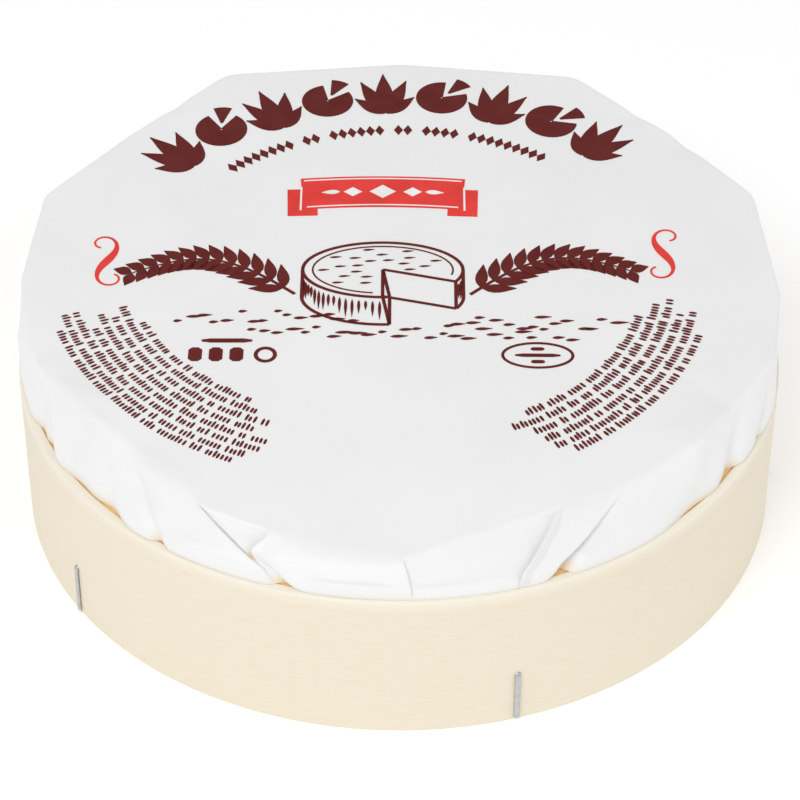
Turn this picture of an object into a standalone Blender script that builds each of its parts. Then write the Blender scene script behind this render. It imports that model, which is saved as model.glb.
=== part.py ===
"""A 250 g camembert in printed waxed paper, sitting in the bottom half of its round wooden box.

Frame: metres, +Z up, the origin on the standing surface under the middle of the hoop. The side that
faces -Y is the front. Azimuths are degrees from -Y, positive towards +X. Lengths below are millimetres
and become metres at the end.
"""
import math

import bmesh
import bpy
import numpy as np
from mathutils import Matrix

MM = 0.001

# Bent wooden hoop: one strip of poplar veneer whose ends lap at the back
HOOP_OUTER_R = 57.0
VENEER = 1.5
HOOP_INNER_R = HOOP_OUTER_R - VENEER
HOOP_HEIGHT = 24.4
HOOP_OUTER_ROUND = 0.4
HOOP_INNER_ROUND = 0.2
HOOP_COLUMN_DEG = 3.0
LAP_FROM_DEG = -163.0
LAP_TO_DEG = -140.0
LAP_RAMP_DEG = 7.0
LAP_STEP_DEG = 0.4

# Round wooden base, let into the hoop
CLEARANCE = 0.3
BASE_R = HOOP_INNER_R - CLEARANCE
BASE_THICKNESS = 2.0
BASE_ROUND = 0.25
BASE_SEGMENTS = 96

# Five wire staples that tie the hoop to the base
STAPLE_COUNT = 5
STAPLE_FIRST_DEG = -54.9
STAPLE_WIDTH = 0.8
STAPLE_THICKNESS = 0.5
STAPLE_TOP_Z = 9.0
STAPLE_LOW_Z = 0.4
STAPLE_CROWN_R = HOOP_OUTER_R + CLEARANCE + STAPLE_THICKNESS / 2
STAPLE_BEND = 0.45
STAPLE_LEG_IN_R = HOOP_INNER_R + 0.25
STAPLE_UNDER_R = 50.0
STAPLE_SIDES = 8
CUT_PAST = 3.0

# Wrapped cheese: the top lies on a plane that rises to the back and rolls over at the front
TOP_Z = 34.6
TOP_RISE = 0.075
FRONT_ROLL_Y = -35.0
FRONT_ROLL_LENGTH = 19.0
FRONT_ROLL_DROP = 1.6

# The paper's folded side: it bulges over the hoop's edge, tucks in behind it and goes down to the foot
BULGE_R = 56.7
BULGE_Z = HOOP_HEIGHT + 1.1
TUCK_R = HOOP_INNER_R - CLEARANCE
TUCK_Z = HOOP_HEIGHT + 0.1
INSIDE_Z = HOOP_HEIGHT - 1.0
WAIST_Z = 14.0
HEEL_R = 54.0
HEEL_Z = 5.5
FOOT_R = 51.8
FOOT_Z = BASE_THICKNESS + CLEARANCE

# Corners of the folded paper's upper edge: azimuth, radius
EDGE_CORNERS = (
    (-152.0, 60.2), (-131.0, 56.7), (-112.0, 59.2), (-92.0, 56.6), (-76.0, 55.2), (-70.0, 54.7),
    (-67.0, 53.2), (-60.0, 51.7), (-50.0, 50.0), (-46.5, 50.3), (-43.0, 51.5), (-40.0, 50.7),
    (-35.0, 50.4), (-32.5, 51.8), (-20.0, 51.3), (-14.0, 51.7), (-10.0, 52.7), (1.0, 53.3),
    (10.0, 50.2), (18.0, 49.2), (33.0, 49.7), (39.0, 51.0), (51.0, 52.3), (54.0, 53.3),
    (63.0, 53.5), (75.0, 56.5), (90.0, 56.7), (113.0, 59.4), (132.0, 57.4), (152.0, 60.1),
    (180.0, 56.2),
)
EDGE_SOFTEN_DEG = 1.6
SHOULDER_FRONT = 2.2
SHOULDER_BACK = 1.0

# Pleats: azimuth at the upper edge, azimuth at the rim, step, and the side on top (+1 is towards +X)
PLEATS = (
    (-166.0, -171.0, 0.6, 1), (-150.0, -156.0, 0.9, 1), (-128.0, -123.0, 0.6, -1),
    (-110.0, -105.0, 0.9, -1), (-90.0, -88.0, 0.4, 1), (-79.0, -77.0, 0.2, -1),
    (-73.5, -71.5, 0.35, 1), (-70.0, -64.2, 0.7, 1), (-33.2, -17.4, 1.3, -1),
    (-20.5, -16.8, 1.4, 1), (0.8, 1.9, 0.8, -1), (27.0, 16.7, 1.4, 1),
    (38.5, 22.4, 0.7, -1), (66.0, 59.2, 0.5, -1), (71.0, 62.8, 0.2, 1),
    (82.0, 79.0, 0.2, -1), (97.0, 99.0, 0.6, 1), (115.0, 109.0, 0.9, 1),
    (134.0, 139.0, 0.6, -1), (153.0, 147.0, 0.9, -1), (172.0, 168.0, 0.5, 1),
)
PLEAT_HALF_STEP_DEG = 0.25
PLEAT_OVER_SHARE = 0.4
PLEAT_OVER_REACH_DEG = 7.0
PLEAT_UNDER_REACH_DEG = 4.0
PLEAT_FULL_FROM = 0.12
PLEAT_PRESSED_AT_RIM = 0.5

# Places at the rim where the paper stands off the wood: azimuth, half width in degrees, gap
RIM_GAPS = (
    (-68.0, 3.5, 0.9), (-64.6, 1.2, 2.0), (-51.0, 6.5, 1.6), (-16.2, 1.7, 1.2),
    (23.4, 1.4, 2.6), (43.5, 4.5, 1.2), (54.0, 3.5, 1.4), (59.6, 1.2, 2.2), (69.5, 1.5, 0.8),
    (101.0, 6.0, 1.4), (128.0, 4.0, 1.0), (160.0, 7.0, 1.5), (-165.0, 6.0, 1.4), (-138.0, 6.0, 1.6),
    (-105.0, 5.0, 1.2),
)

# Puckers of the folded side: azimuth, half width in degrees, place between edge (0) and rim (1), height
PUCKERS = (
    (-27.0, 5.5, 0.80, 0.5), (-5.0, 5.0, 0.88, 0.5), (9.0, 4.5, 0.70, -0.3),
    (-43.0, 5.0, 0.45, -0.4), (45.0, 6.0, 0.45, -0.4), (72.0, 4.0, 0.5, 0.3),
    (-84.0, 4.0, 0.5, 0.3), (123.0, 7.0, 0.5, -0.4), (162.0, 7.0, 0.6, -0.4),
    (-162.0, 7.0, 0.5, -0.4), (-120.0, 7.0, 0.5, -0.4),
)
PUCKER_LENGTH = 0.18

# Soft swells and hollows of the top: x, y, radius, height
TOP_SWELLS = (
    (4.0, -46.0, 9.0, 0.35), (-20.0, -38.0, 10.0, -0.25), (24.0, -36.0, 9.0, -0.35),
    (45.0, -22.0, 4.0, -0.45), (40.0, -31.0, 4.0, 0.35), (-42.0, -26.0, 5.0, 0.30),
    (-35.0, -32.0, 4.5, -0.25), (0.0, 10.0, 30.0, 0.30), (-48.0, -10.0, 6.0, 0.25),
    (30.0, 40.0, 9.0, -0.20), (-25.0, 44.0, 8.0, 0.20),
)

# Grid of the wrapped cheese
WRAP_COLUMN_DEG = 3.0
TOP_RINGS = (0.30, 0.55, 0.75, 0.90, 1.0)
SHOULDER_STEPS = 4
SIDE_STEPS = 6
BULGE_STEPS = 3
BULGE_FROM = 0.80

COLOURS = {
    "paper": (0.86, 0.87, 0.85, 1.0, 0.45, 0.0),
    "wood": (0.86, 0.74, 0.53, 1.0, 0.62, 0.0),
    "wire": (0.55, 0.55, 0.54, 1.0, 0.35, 1.0),
}


def clear_scene():
    """Remove every object that the file already holds."""
    for item in list(bpy.data.objects):
        bpy.data.objects.remove(item, do_unlink=True)


def make_material(name, slot):
    """A Principled material with the colour, roughness and metallic value of one finish."""
    red, green, blue, alpha, roughness, metallic = COLOURS[slot]
    material = bpy.data.materials.new(name)
    material.use_nodes = True
    shader = material.node_tree.nodes["Principled BSDF"]
    shader.inputs["Base Color"].default_value = (red, green, blue, alpha)
    shader.inputs["Roughness"].default_value = roughness
    shader.inputs["Metallic"].default_value = metallic
    material.diffuse_color = (red, green, blue, alpha)
    return material


def shape_from(points_mm, faces):
    """A bmesh from rows of x, y, z in millimetres and faces as tuples of row numbers."""
    shape = bmesh.new()
    corners = [shape.verts.new(point) for point in np.asarray(points_mm) * MM]
    for face in faces:
        shape.faces.new([corners[index] for index in face])
    return shape


def add_object(name, shape, slot, smooth_deg=40.0):
    """A named object from a bmesh, shaded smooth except over sharp edges."""
    mesh = bpy.data.meshes.new(name)
    shape.to_mesh(mesh)
    shape.free()
    mesh.shade_smooth()
    mesh.set_sharp_from_angle(angle=math.radians(smooth_deg))
    mesh.materials.append(make_material(name, slot))
    item = bpy.data.objects.new(name, mesh)
    bpy.context.scene.collection.objects.link(item)
    return item


def cut(target, cutter):
    """Cut the target by a cutter, which stays in the file as a hidden wire guide."""
    cutter.hide_render = True
    cutter.display_type = "WIRE"
    boolean = target.modifiers.new("cut_" + cutter.name, "BOOLEAN")
    boolean.operation = "DIFFERENCE"
    boolean.object = cutter


def polar(radius, azimuth_deg, z):
    """Points from radius, azimuth from -Y towards +X, and height, as rows of x, y, z."""
    angle = np.radians(azimuth_deg)
    return np.stack(np.broadcast_arrays(radius * np.sin(angle), -radius * np.cos(angle), z), axis=-1)


def ring_faces(columns, rows, close_rows):
    """Quads of a grid that closes round its columns, and round its rows if asked. Points run row by row."""
    faces = []
    for row in range(rows if close_rows else rows - 1):
        upper = row * columns
        lower = (row + 1) % rows * columns
        for column in range(columns):
            after = (column + 1) % columns
            faces.append((upper + column, lower + column, lower + after, upper + after))
    return faces


def smooth_step(value):
    """0 below 0, 1 above 1, and a soft S between."""
    value = np.clip(value, 0.0, 1.0)
    return value * value * (3.0 - 2.0 * value)


def turn(azimuth_deg, centre_deg):
    """Signed difference of two azimuths, from -180 to 180."""
    return (azimuth_deg - centre_deg + 180.0) % 360.0 - 180.0


def hoop_radii(azimuth):
    """Inner and outer radius of the strip: plain, double where its ends lap, easing back over a ramp."""
    in_lap = (azimuth >= LAP_FROM_DEG) & (azimuth <= LAP_TO_DEG)
    ramp = np.clip((LAP_TO_DEG + LAP_RAMP_DEG - azimuth) / LAP_RAMP_DEG, 0.0, 1.0)
    on_ramp = (azimuth > LAP_TO_DEG) & (ramp > 0.0)
    inner = np.where(on_ramp, HOOP_INNER_R + VENEER * ramp, HOOP_INNER_R)
    outer = HOOP_OUTER_R + VENEER * np.where(in_lap, 1.0, np.where(on_ramp, ramp, 0.0))
    return inner, outer


def hoop_columns():
    """Azimuths of the hoop's columns, with a pair at each end of the lap."""
    plain = np.arange(-180.0, 180.0, HOOP_COLUMN_DEG)
    ends = (LAP_FROM_DEG - LAP_STEP_DEG, LAP_FROM_DEG, LAP_TO_DEG, LAP_TO_DEG + LAP_STEP_DEG)
    clear = np.all([np.abs(plain - end) > 1.0 for end in ends], axis=0)
    return np.sort(np.concatenate([plain[clear], ends]))


def make_hoop(cutter):
    """The bent strip, as a ring of one cross-section with rounded upper corners."""
    azimuth = hoop_columns()
    inner, outer = hoop_radii(azimuth)
    profile = (
        (outer, 0.0), (outer, HOOP_HEIGHT - HOOP_OUTER_ROUND), (outer - HOOP_OUTER_ROUND, HOOP_HEIGHT),
        (inner + HOOP_INNER_ROUND, HOOP_HEIGHT), (inner, HOOP_HEIGHT - HOOP_INNER_ROUND), (inner, 0.0),
    )
    points = np.concatenate([polar(radius, azimuth, z) for radius, z in reversed(profile)])
    faces = ring_faces(len(azimuth), len(profile), True)
    hoop = add_object("wood_hoop", shape_from(points, faces), "wood")
    cut(hoop, cutter)
    return hoop


def make_base(cutter):
    """The round base, with the grooves that the staples' lower legs are pressed into."""
    shape = bmesh.new()
    bmesh.ops.create_cone(
        shape, cap_ends=True, segments=BASE_SEGMENTS, radius1=BASE_R * MM, radius2=BASE_R * MM,
        depth=BASE_THICKNESS * MM, matrix=Matrix.Translation((0.0, 0.0, BASE_THICKNESS / 2 * MM)),
    )
    base = add_object("wood_base", shape, "wood", 30.0)
    bevel = base.modifiers.new("rounded_edge", "BEVEL")
    bevel.width = BASE_ROUND * MM
    bevel.segments = 1
    bevel.limit_method = "ANGLE"
    cut(base, cutter)
    return base


def staple_azimuths():
    """The staples stand at equal angles."""
    return [STAPLE_FIRST_DEG + 360.0 / STAPLE_COUNT * index for index in range(STAPLE_COUNT)]


def add_box(shape, azimuth, radii, heights, width):
    """Add to the shape a box that stands across the hoop at an azimuth."""
    size = (width * MM, (radii[1] - radii[0]) * MM, (heights[1] - heights[0]) * MM)
    middle = Matrix.Translation((0.0, -sum(radii) / 2 * MM, sum(heights) / 2 * MM))
    place = Matrix.Rotation(math.radians(azimuth), 4, "Z") @ middle @ Matrix.Diagonal((*size, 1.0))
    bmesh.ops.create_cube(shape, size=1.0, matrix=place)


def make_staple_cutter():
    """Boxes for the holes of the upper legs and for the grooves of the lower legs."""
    width = STAPLE_WIDTH + 2 * CLEARANCE
    half = STAPLE_THICKNESS / 2 + CLEARANCE
    outside = HOOP_OUTER_R + CUT_PAST
    shape = bmesh.new()
    hole = (STAPLE_TOP_Z - half, STAPLE_TOP_Z + half)
    groove = (-CUT_PAST, STAPLE_LOW_Z + half)
    for azimuth in staple_azimuths():
        add_box(shape, azimuth, (HOOP_INNER_R - CUT_PAST, outside), hole, width)
        add_box(shape, azimuth, (STAPLE_UNDER_R - CLEARANCE, outside), groove, width)
    return add_object("staple_cutter", shape, "wire")


def staple_shape():
    """One wire staple on the front: a leg into the hoop, a crown down its outside, a leg under the base."""
    crown, turned = STAPLE_CROWN_R, STAPLE_BEND * 0.3
    path = np.array([
        (STAPLE_LEG_IN_R, STAPLE_TOP_Z), (crown - STAPLE_BEND, STAPLE_TOP_Z),
        (crown - turned, STAPLE_TOP_Z - turned), (crown, STAPLE_TOP_Z - STAPLE_BEND),
        (crown, STAPLE_LOW_Z + STAPLE_BEND), (crown - turned, STAPLE_LOW_Z + turned),
        (crown - STAPLE_BEND, STAPLE_LOW_Z), (STAPLE_UNDER_R, STAPLE_LOW_Z),
    ])
    along = np.gradient(path, axis=0)
    along /= np.linalg.norm(along, axis=1, keepdims=True)
    half_side = math.pi / STAPLE_SIDES
    ring = half_side - np.arange(STAPLE_SIDES) * 2 * half_side
    wide = np.cos(ring) / math.cos(half_side) * STAPLE_WIDTH / 2
    thick = np.sin(ring) / math.cos(half_side) * STAPLE_THICKNESS / 2
    radius = path[:, 0][:, None] - along[:, 1][:, None] * thick
    height = path[:, 1][:, None] + along[:, 0][:, None] * thick
    points = np.stack([np.broadcast_to(wide, radius.shape), -radius, height], axis=-1).reshape(-1, 3)
    faces = ring_faces(STAPLE_SIDES, len(path), False)
    last = (len(path) - 1) * STAPLE_SIDES
    faces.append(tuple(range(STAPLE_SIDES)))
    faces.append(tuple(reversed(range(last, last + STAPLE_SIDES))))
    return shape_from(points, faces)


def make_staples():
    """The staples share one mesh and are turned about the hoop's axis."""
    first = add_object("staple_1", staple_shape(), "wire", 50.0)
    staples = [first] + [first.copy() for _ in range(STAPLE_COUNT - 1)]
    for number, (staple, azimuth) in enumerate(zip(staples, staple_azimuths()), start=1):
        staple.name = f"staple_{number}"
        staple.rotation_euler.z = math.radians(azimuth)
        if staple is not first:
            bpy.context.scene.collection.objects.link(staple)


def edge_radius(azimuth):
    """Radius of the paper's upper edge: straight folds between the corners, softened by a short average."""
    before, first = EDGE_CORNERS[-1], EDGE_CORNERS[0]
    corners = np.array([(before[0] - 360.0, before[1]), *EDGE_CORNERS, (first[0] + 360.0, first[1])])
    knots, radii = np.radians(corners[:, 0]), corners[:, 1]
    total = 0.0
    for shift, share in ((-1.5, 0.15), (-0.75, 0.2), (0.0, 0.3), (0.75, 0.2), (1.5, 0.15)):
        angle = np.radians(turn(azimuth + shift * EDGE_SOFTEN_DEG, 0.0))
        after = np.clip(np.searchsorted(knots, angle, side="right"), 1, len(knots) - 1)
        a0, a1, r0, r1 = knots[after - 1], knots[after], radii[after - 1], radii[after]
        chord = r0 * r1 * np.sin(a1 - a0) / (r0 * np.sin(angle - a0) + r1 * np.sin(a1 - angle))
        total = total + share * chord
    return total


def top_height(x, y):
    """Height of the top: a plane that rises to the back, rolls over at the front, and swells softly."""
    height = TOP_Z + TOP_RISE * y - FRONT_ROLL_DROP * smooth_step((FRONT_ROLL_Y - y) / FRONT_ROLL_LENGTH)
    for swell_x, swell_y, radius, rise in TOP_SWELLS:
        height = height + rise * np.exp(-((x - swell_x) ** 2 + (y - swell_y) ** 2) / radius**2)
    return height


def pleat_relief(azimuth):
    """Offset of the folded side: raised on the upper fold of each pleat, sunk beside it, both fading."""
    relief = 0.0
    for edge_deg, _, step, over in PLEATS:
        side = turn(azimuth, edge_deg) * over
        raised = PLEAT_OVER_SHARE * np.exp(-np.abs(side) / PLEAT_OVER_REACH_DEG)
        sunk = (PLEAT_OVER_SHARE - 1.0) * np.exp(-np.abs(side) / PLEAT_UNDER_REACH_DEG)
        relief = relief + step * np.where(side > 0.0, raised, sunk)
    return relief


def pleat_slant(azimuth):
    """How far a line down the folded side turns on its way to the rim, read between the pleats."""
    edges = np.array([pleat[0] for pleat in PLEATS])
    slants = np.array([pleat[1] - pleat[0] for pleat in PLEATS])
    return np.interp(azimuth, edges, slants, period=360.0)


def wrap_columns():
    """Azimuths of the wrap's columns: even, with a close pair at each pleat."""
    even = np.arange(-180.0, 180.0, WRAP_COLUMN_DEG)
    edges = np.array([pleat[0] for pleat in PLEATS])
    clear = np.all(np.abs(turn(even[:, None], edges[None, :])) > WRAP_COLUMN_DEG * 0.4, axis=1)
    return np.sort(np.concatenate([even[clear], edges - PLEAT_HALF_STEP_DEG, edges + PLEAT_HALF_STEP_DEG]))


def bend(first, corner, last, share):
    """A point on the soft bend from first to last round a corner: a quadratic curve, share from 0 to 1."""
    return (1 - share) ** 2 * first + 2 * share * (1 - share) * corner + share**2 * last


def folded_side(azimuth, place, edge, bulge):
    """Radius and height down the folded side, place 0 at the upper edge to 1 at the bulge, with its folds."""
    across = bulge - edge
    length = np.hypot(*across)
    amount = pleat_relief(azimuth) * smooth_step(place / PLEAT_FULL_FROM)
    amount = amount * (1.0 - PLEAT_PRESSED_AT_RIM * smooth_step((place - 0.7) / 0.3))
    here = azimuth + pleat_slant(azimuth) * place
    for at, half, height_at, rise in PUCKERS:
        down = (place - height_at) / PUCKER_LENGTH
        amount = amount + rise * np.exp(-((turn(here, at) / half) ** 2) - down**2)
    normal = np.stack([-across[1], across[0]]) / length
    return edge + across * place + normal * amount


def wrap_rows(azimuth):
    """The wrapped cheese row by row, as points from near the top's middle down to the foot."""
    slant = pleat_slant(azimuth)
    edge_r = edge_radius(azimuth)
    edge_xyz = polar(edge_r, azimuth, 0.0)
    edge = np.stack([edge_r, top_height(edge_xyz[:, 0], edge_xyz[:, 1])])
    gap = sum(depth * np.exp(-((turn(azimuth + slant, at) / half) ** 2)) for at, half, depth in RIM_GAPS)
    bulge = np.stack([BULGE_R - gap, np.full_like(azimuth, BULGE_Z)])
    tuck = np.stack([np.minimum(bulge[0], TUCK_R), np.full_like(azimuth, TUCK_Z)])
    front = smooth_step((np.cos(np.radians(azimuth)) + 0.3) / 0.9)
    shoulder = SHOULDER_BACK + (SHOULDER_FRONT - SHOULDER_BACK) * front
    side_from = shoulder / np.hypot(*(bulge - edge))

    rows = []
    for share in TOP_RINGS:
        ring = polar((edge_r - shoulder) * share, azimuth, 0.0)
        rows.append(np.column_stack([ring[:, :2], top_height(ring[:, 0], ring[:, 1])]))
    start = np.stack([edge_r - shoulder, rows[-1][:, 2]])
    side_top = folded_side(azimuth, side_from, edge, bulge)
    for step in range(1, SHOULDER_STEPS + 1):
        share = step / SHOULDER_STEPS
        radius, z = bend(start, edge, side_top, share)
        rows.append(polar(radius, azimuth + slant * side_from * share**2, z))
    for step in range(1, SIDE_STEPS + 1):
        place = side_from + (BULGE_FROM - side_from) * step / SIDE_STEPS
        radius, z = folded_side(azimuth, place, edge, bulge)
        rows.append(polar(radius, azimuth + slant * place, z))
    side_foot = folded_side(azimuth, BULGE_FROM, edge, bulge)
    for step in range(1, BULGE_STEPS + 1):
        share = step / BULGE_STEPS
        radius, z = bend(side_foot, bulge, tuck, share)
        rows.append(polar(radius, azimuth + slant * (BULGE_FROM + (1 - BULGE_FROM) * share), z))
    waist_r = (tuck[0] + HEEL_R) / 2
    for radius, z in ((tuck[0], INSIDE_Z), (waist_r, WAIST_Z), (HEEL_R, HEEL_Z), (FOOT_R, FOOT_Z)):
        rows.append(polar(radius, azimuth + slant, z))
    return rows


def make_wrapped_cheese():
    """The cheese in its folded paper, one closed solid."""
    azimuth = wrap_columns()
    rows = wrap_rows(azimuth)
    points = np.concatenate(rows)
    columns = len(azimuth)
    faces = ring_faces(columns, len(rows), False)
    centre = np.array([[0.0, 0.0, top_height(0.0, 0.0)]])
    middle = len(points)
    points = np.concatenate([points, centre])
    faces += [(middle, column, (column + 1) % columns) for column in range(columns)]
    last = (len(rows) - 1) * columns
    faces.append(tuple(reversed(range(last, last + columns))))
    return add_object("wrapped_cheese", shape_from(points, faces), "paper", 50.0)


def main():
    clear_scene()
    cutter = make_staple_cutter()
    make_hoop(cutter)
    make_base(cutter)
    make_staples()
    make_wrapped_cheese()


main()
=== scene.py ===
# %% [markdown]
# This lesson dresses a small camembert that stands in the bottom half of its round wooden box. The
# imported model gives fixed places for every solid: the bent hoop, the let-in base, five wire staples
# and the cheese in its folded paper. Finer pieces are laid over those places, in the same frame, so
# nothing has to be fitted afterwards. Azimuths are degrees from the front, positive to the right.

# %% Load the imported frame
import math

import bpy
import numpy as np
from mathutils import Matrix


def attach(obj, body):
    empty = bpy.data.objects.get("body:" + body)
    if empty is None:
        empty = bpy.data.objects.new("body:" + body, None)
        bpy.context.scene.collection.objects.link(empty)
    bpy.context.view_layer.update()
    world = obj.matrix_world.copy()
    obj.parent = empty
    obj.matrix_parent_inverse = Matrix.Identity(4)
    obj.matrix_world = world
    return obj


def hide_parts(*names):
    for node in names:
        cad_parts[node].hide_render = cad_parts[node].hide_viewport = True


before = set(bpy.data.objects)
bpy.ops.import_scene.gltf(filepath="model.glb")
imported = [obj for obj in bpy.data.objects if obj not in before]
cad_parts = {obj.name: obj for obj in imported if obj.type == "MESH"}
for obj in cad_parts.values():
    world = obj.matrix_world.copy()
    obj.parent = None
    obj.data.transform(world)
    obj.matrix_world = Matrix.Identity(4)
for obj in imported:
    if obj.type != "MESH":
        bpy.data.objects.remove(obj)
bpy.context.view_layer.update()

print("nodes:", sorted(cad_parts))

# %% [markdown]
# The photograph looks down at the pack from the front with a long lens, as a catalogue picture does.
# A camera is a place, a direction and a focal length. The direction is built here as three arrows,
# forward, right and up, because a matrix of arrows has no hidden order of turns as Euler angles have.

# %% Camera
MM = 0.001
CAMERA_PLACE = np.array([0.149, -347.247, 294.956]) * MM
LOOK_DOWN = math.radians(38.997)
CAMERA_ROLL = math.radians(0.253)
FOCAL_LENGTH = 131.39


def place_object(name, data):
    """A new object with this data, put into the scene."""
    thing = bpy.data.objects.new(name, data)
    bpy.context.scene.collection.objects.link(thing)
    return thing


forward = np.array([0.0, math.cos(LOOK_DOWN), -math.sin(LOOK_DOWN)])
level_up = np.array([0.0, math.sin(LOOK_DOWN), math.cos(LOOK_DOWN)])
level_right = np.array([1.0, 0.0, 0.0])
camera_right = math.cos(CAMERA_ROLL) * level_right + math.sin(CAMERA_ROLL) * level_up
camera_up = math.cos(CAMERA_ROLL) * level_up - math.sin(CAMERA_ROLL) * level_right

camera_data = bpy.data.cameras.new("camera")
camera_data.lens = FOCAL_LENGTH
camera_data.sensor_width = 36.0
camera_data.clip_start = 0.02
camera_data.clip_end = 50.0
camera = place_object("camera", camera_data)
camera.matrix_world = Matrix(np.column_stack([camera_right, camera_up, -forward]).tolist()).to_4x4()
camera.location = CAMERA_PLACE.tolist()
bpy.context.scene.camera = camera
print("camera stands", round(float(np.linalg.norm(CAMERA_PLACE)), 3), "m from the pack's middle")

# %% [markdown]
# Every new piece is a sheet of points on a grid of rows and columns. One helper numbers the quads of
# such a grid as a whole array, and another puts the arrays into a mesh. Faces turn their front to the
# side from which the corners run anticlockwise, so the order of rows decides which side is outside.

# %% Grid helpers
def grid_quads(rows, columns, round_columns=False):
    """Corner numbers of the quads of a grid whose points run row by row.

    The quad of row r and column c has the corners (r, c), (r+1, c), (r+1, c+1) and (r, c+1). If the
    columns go round, the one after the last is the first.
    """
    row = np.arange(rows - 1)[:, None]
    column = np.arange(columns if round_columns else columns - 1)[None, :]
    after = (column + 1) % columns
    here, below = row * columns, (row + 1) * columns
    return np.stack([here + column, below + column, below + after, here + after], axis=-1).reshape(-1, 4)


def mesh_piece(name, points_mm, faces, material, sharp_deg=40.0, corner_uv=None):
    """A finished piece at the origin from points in millimetres and lists of corner numbers."""
    mesh = bpy.data.meshes.new(name)
    mesh.from_pydata((np.asarray(points_mm) * MM).tolist(), [], [list(face) for face in faces])
    if corner_uv is not None:
        layer = mesh.uv_layers.new(name="UVMap")
        layer.data.foreach_set("uv", np.ascontiguousarray(corner_uv, dtype=np.float32).ravel())
    mesh.shade_smooth()
    mesh.set_sharp_from_angle(angle=math.radians(sharp_deg))
    mesh.materials.append(material)
    piece = place_object(name, mesh)
    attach(piece, "root")
    mesh.calc_loop_triangles()
    print(name, len(mesh.vertices), "points,", len(mesh.loop_triangles), "triangles")
    return piece


def point_values(piece, name, values):
    """A named number for every point of a piece, for its material to read."""
    layer = piece.data.attributes.new(name, "FLOAT", "POINT")
    layer.data.foreach_set("value", np.asarray(values, dtype=np.float32))


def smooth_step(value):
    """0 below 0, 1 above 1, and the soft S value squared times (3 minus twice the value) between."""
    value = np.clip(value, 0.0, 1.0)
    return value * value * (3.0 - 2.0 * value)


def turn(azimuth, centre):
    """Signed difference of two azimuths in degrees, from -180 to 180."""
    return (azimuth - centre + 180.0) % 360.0 - 180.0


def polar(radius, azimuth, z):
    """Points x = radius sin azimuth, y = -radius cos azimuth, z."""
    angle = np.radians(azimuth)
    return np.stack(np.broadcast_arrays(radius * np.sin(angle), -radius * np.cos(angle), z), axis=-1)


# %% [markdown]
# Materials are node trees. Two small effects come back in several of them, so each is a node group
# with named sockets: a soft mottle for uneven surfaces, and a wood grain for veneer. A group hands out
# values, colours and heights only; the shader itself stays in each material.

# %% Node helpers
def new_group(name, inputs, outputs):
    """An empty node group with the named sockets; each socket is (name, kind, default)."""
    group = bpy.data.node_groups.new(name, "ShaderNodeTree")
    for label, kind, default in inputs:
        socket = group.interface.new_socket(name=label, in_out="INPUT", socket_type=kind)
        if default is not None:
            socket.default_value = default
    for label, kind in outputs:
        group.interface.new_socket(name=label, in_out="OUTPUT", socket_type=kind)
    return group, group.nodes.new("NodeGroupInput"), group.nodes.new("NodeGroupOutput")


def add_node(tree, kind, settings=(), values=()):
    """A node with attributes and unlinked input values set by name or number."""
    node = tree.nodes.new(kind)
    for label, value in dict(settings).items():
        setattr(node, label, value)
    for label, value in dict(values).items():
        node.inputs[label].default_value = value
    return node


def feed(tree, node, sockets):
    """Links from sockets to the inputs of a node, which are named or numbered."""
    for label, socket in sockets.items():
        tree.links.new(socket, node.inputs[label])


def stretched_noise(tree, vector, stretch, detail=3.0, roughness=0.5):
    """Noise on a vector that is first multiplied by a stretch, so it runs long where that is small."""
    mapping = add_node(tree, "ShaderNodeMapping", {}, {"Scale": stretch})
    noise = add_node(tree, "ShaderNodeTexNoise", {}, {"Scale": 1.0, "Detail": detail, "Roughness": roughness})
    feed(tree, mapping, {"Vector": vector})
    feed(tree, noise, {"Vector": mapping.outputs["Vector"]})
    return noise.outputs["Fac"]


def ramp_between(tree, value, low, high, out_low=0.0, out_high=1.0):
    """A value read between low and high and written between two others, held at the ends."""
    node = add_node(tree, "ShaderNodeMapRange", {"clamp": True}, {1: low, 2: high, 3: out_low, 4: out_high})
    tree.links.new(value, node.inputs[0])
    return node.outputs[0]


def mix_colour(tree, factor, first, second):
    """A blend of two colours; each may be a socket or a plain colour, and so may the factor."""
    node = add_node(tree, "ShaderNodeMix", {"data_type": "RGBA"})
    for index, value in ((0, factor), (6, first), (7, second)):
        if isinstance(value, bpy.types.NodeSocket):
            tree.links.new(value, node.inputs[index])
        else:
            node.inputs[index].default_value = value
    return node.outputs[2]


def weighted_sum(tree, parts):
    """The sum of sockets, each multiplied by its own number."""
    total = None
    for socket, weight in parts:
        node = add_node(tree, "ShaderNodeMath", {"operation": "MULTIPLY_ADD"}, {1: weight, 2: 0.0})
        tree.links.new(socket, node.inputs[0])
        if total is not None:
            tree.links.new(total, node.inputs[2])
        total = node.outputs[0]
    return total


def product(tree, first, second):
    """Two sockets multiplied."""
    node = add_node(tree, "ShaderNodeMath", {"operation": "MULTIPLY"})
    feed(tree, node, {0: first, 1: second})
    return node.outputs[0]


def point_value(tree, name):
    """The number that every point of the mesh carries under this name."""
    return add_node(tree, "ShaderNodeAttribute", {"attribute_name": name}).outputs["Fac"]


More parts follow.
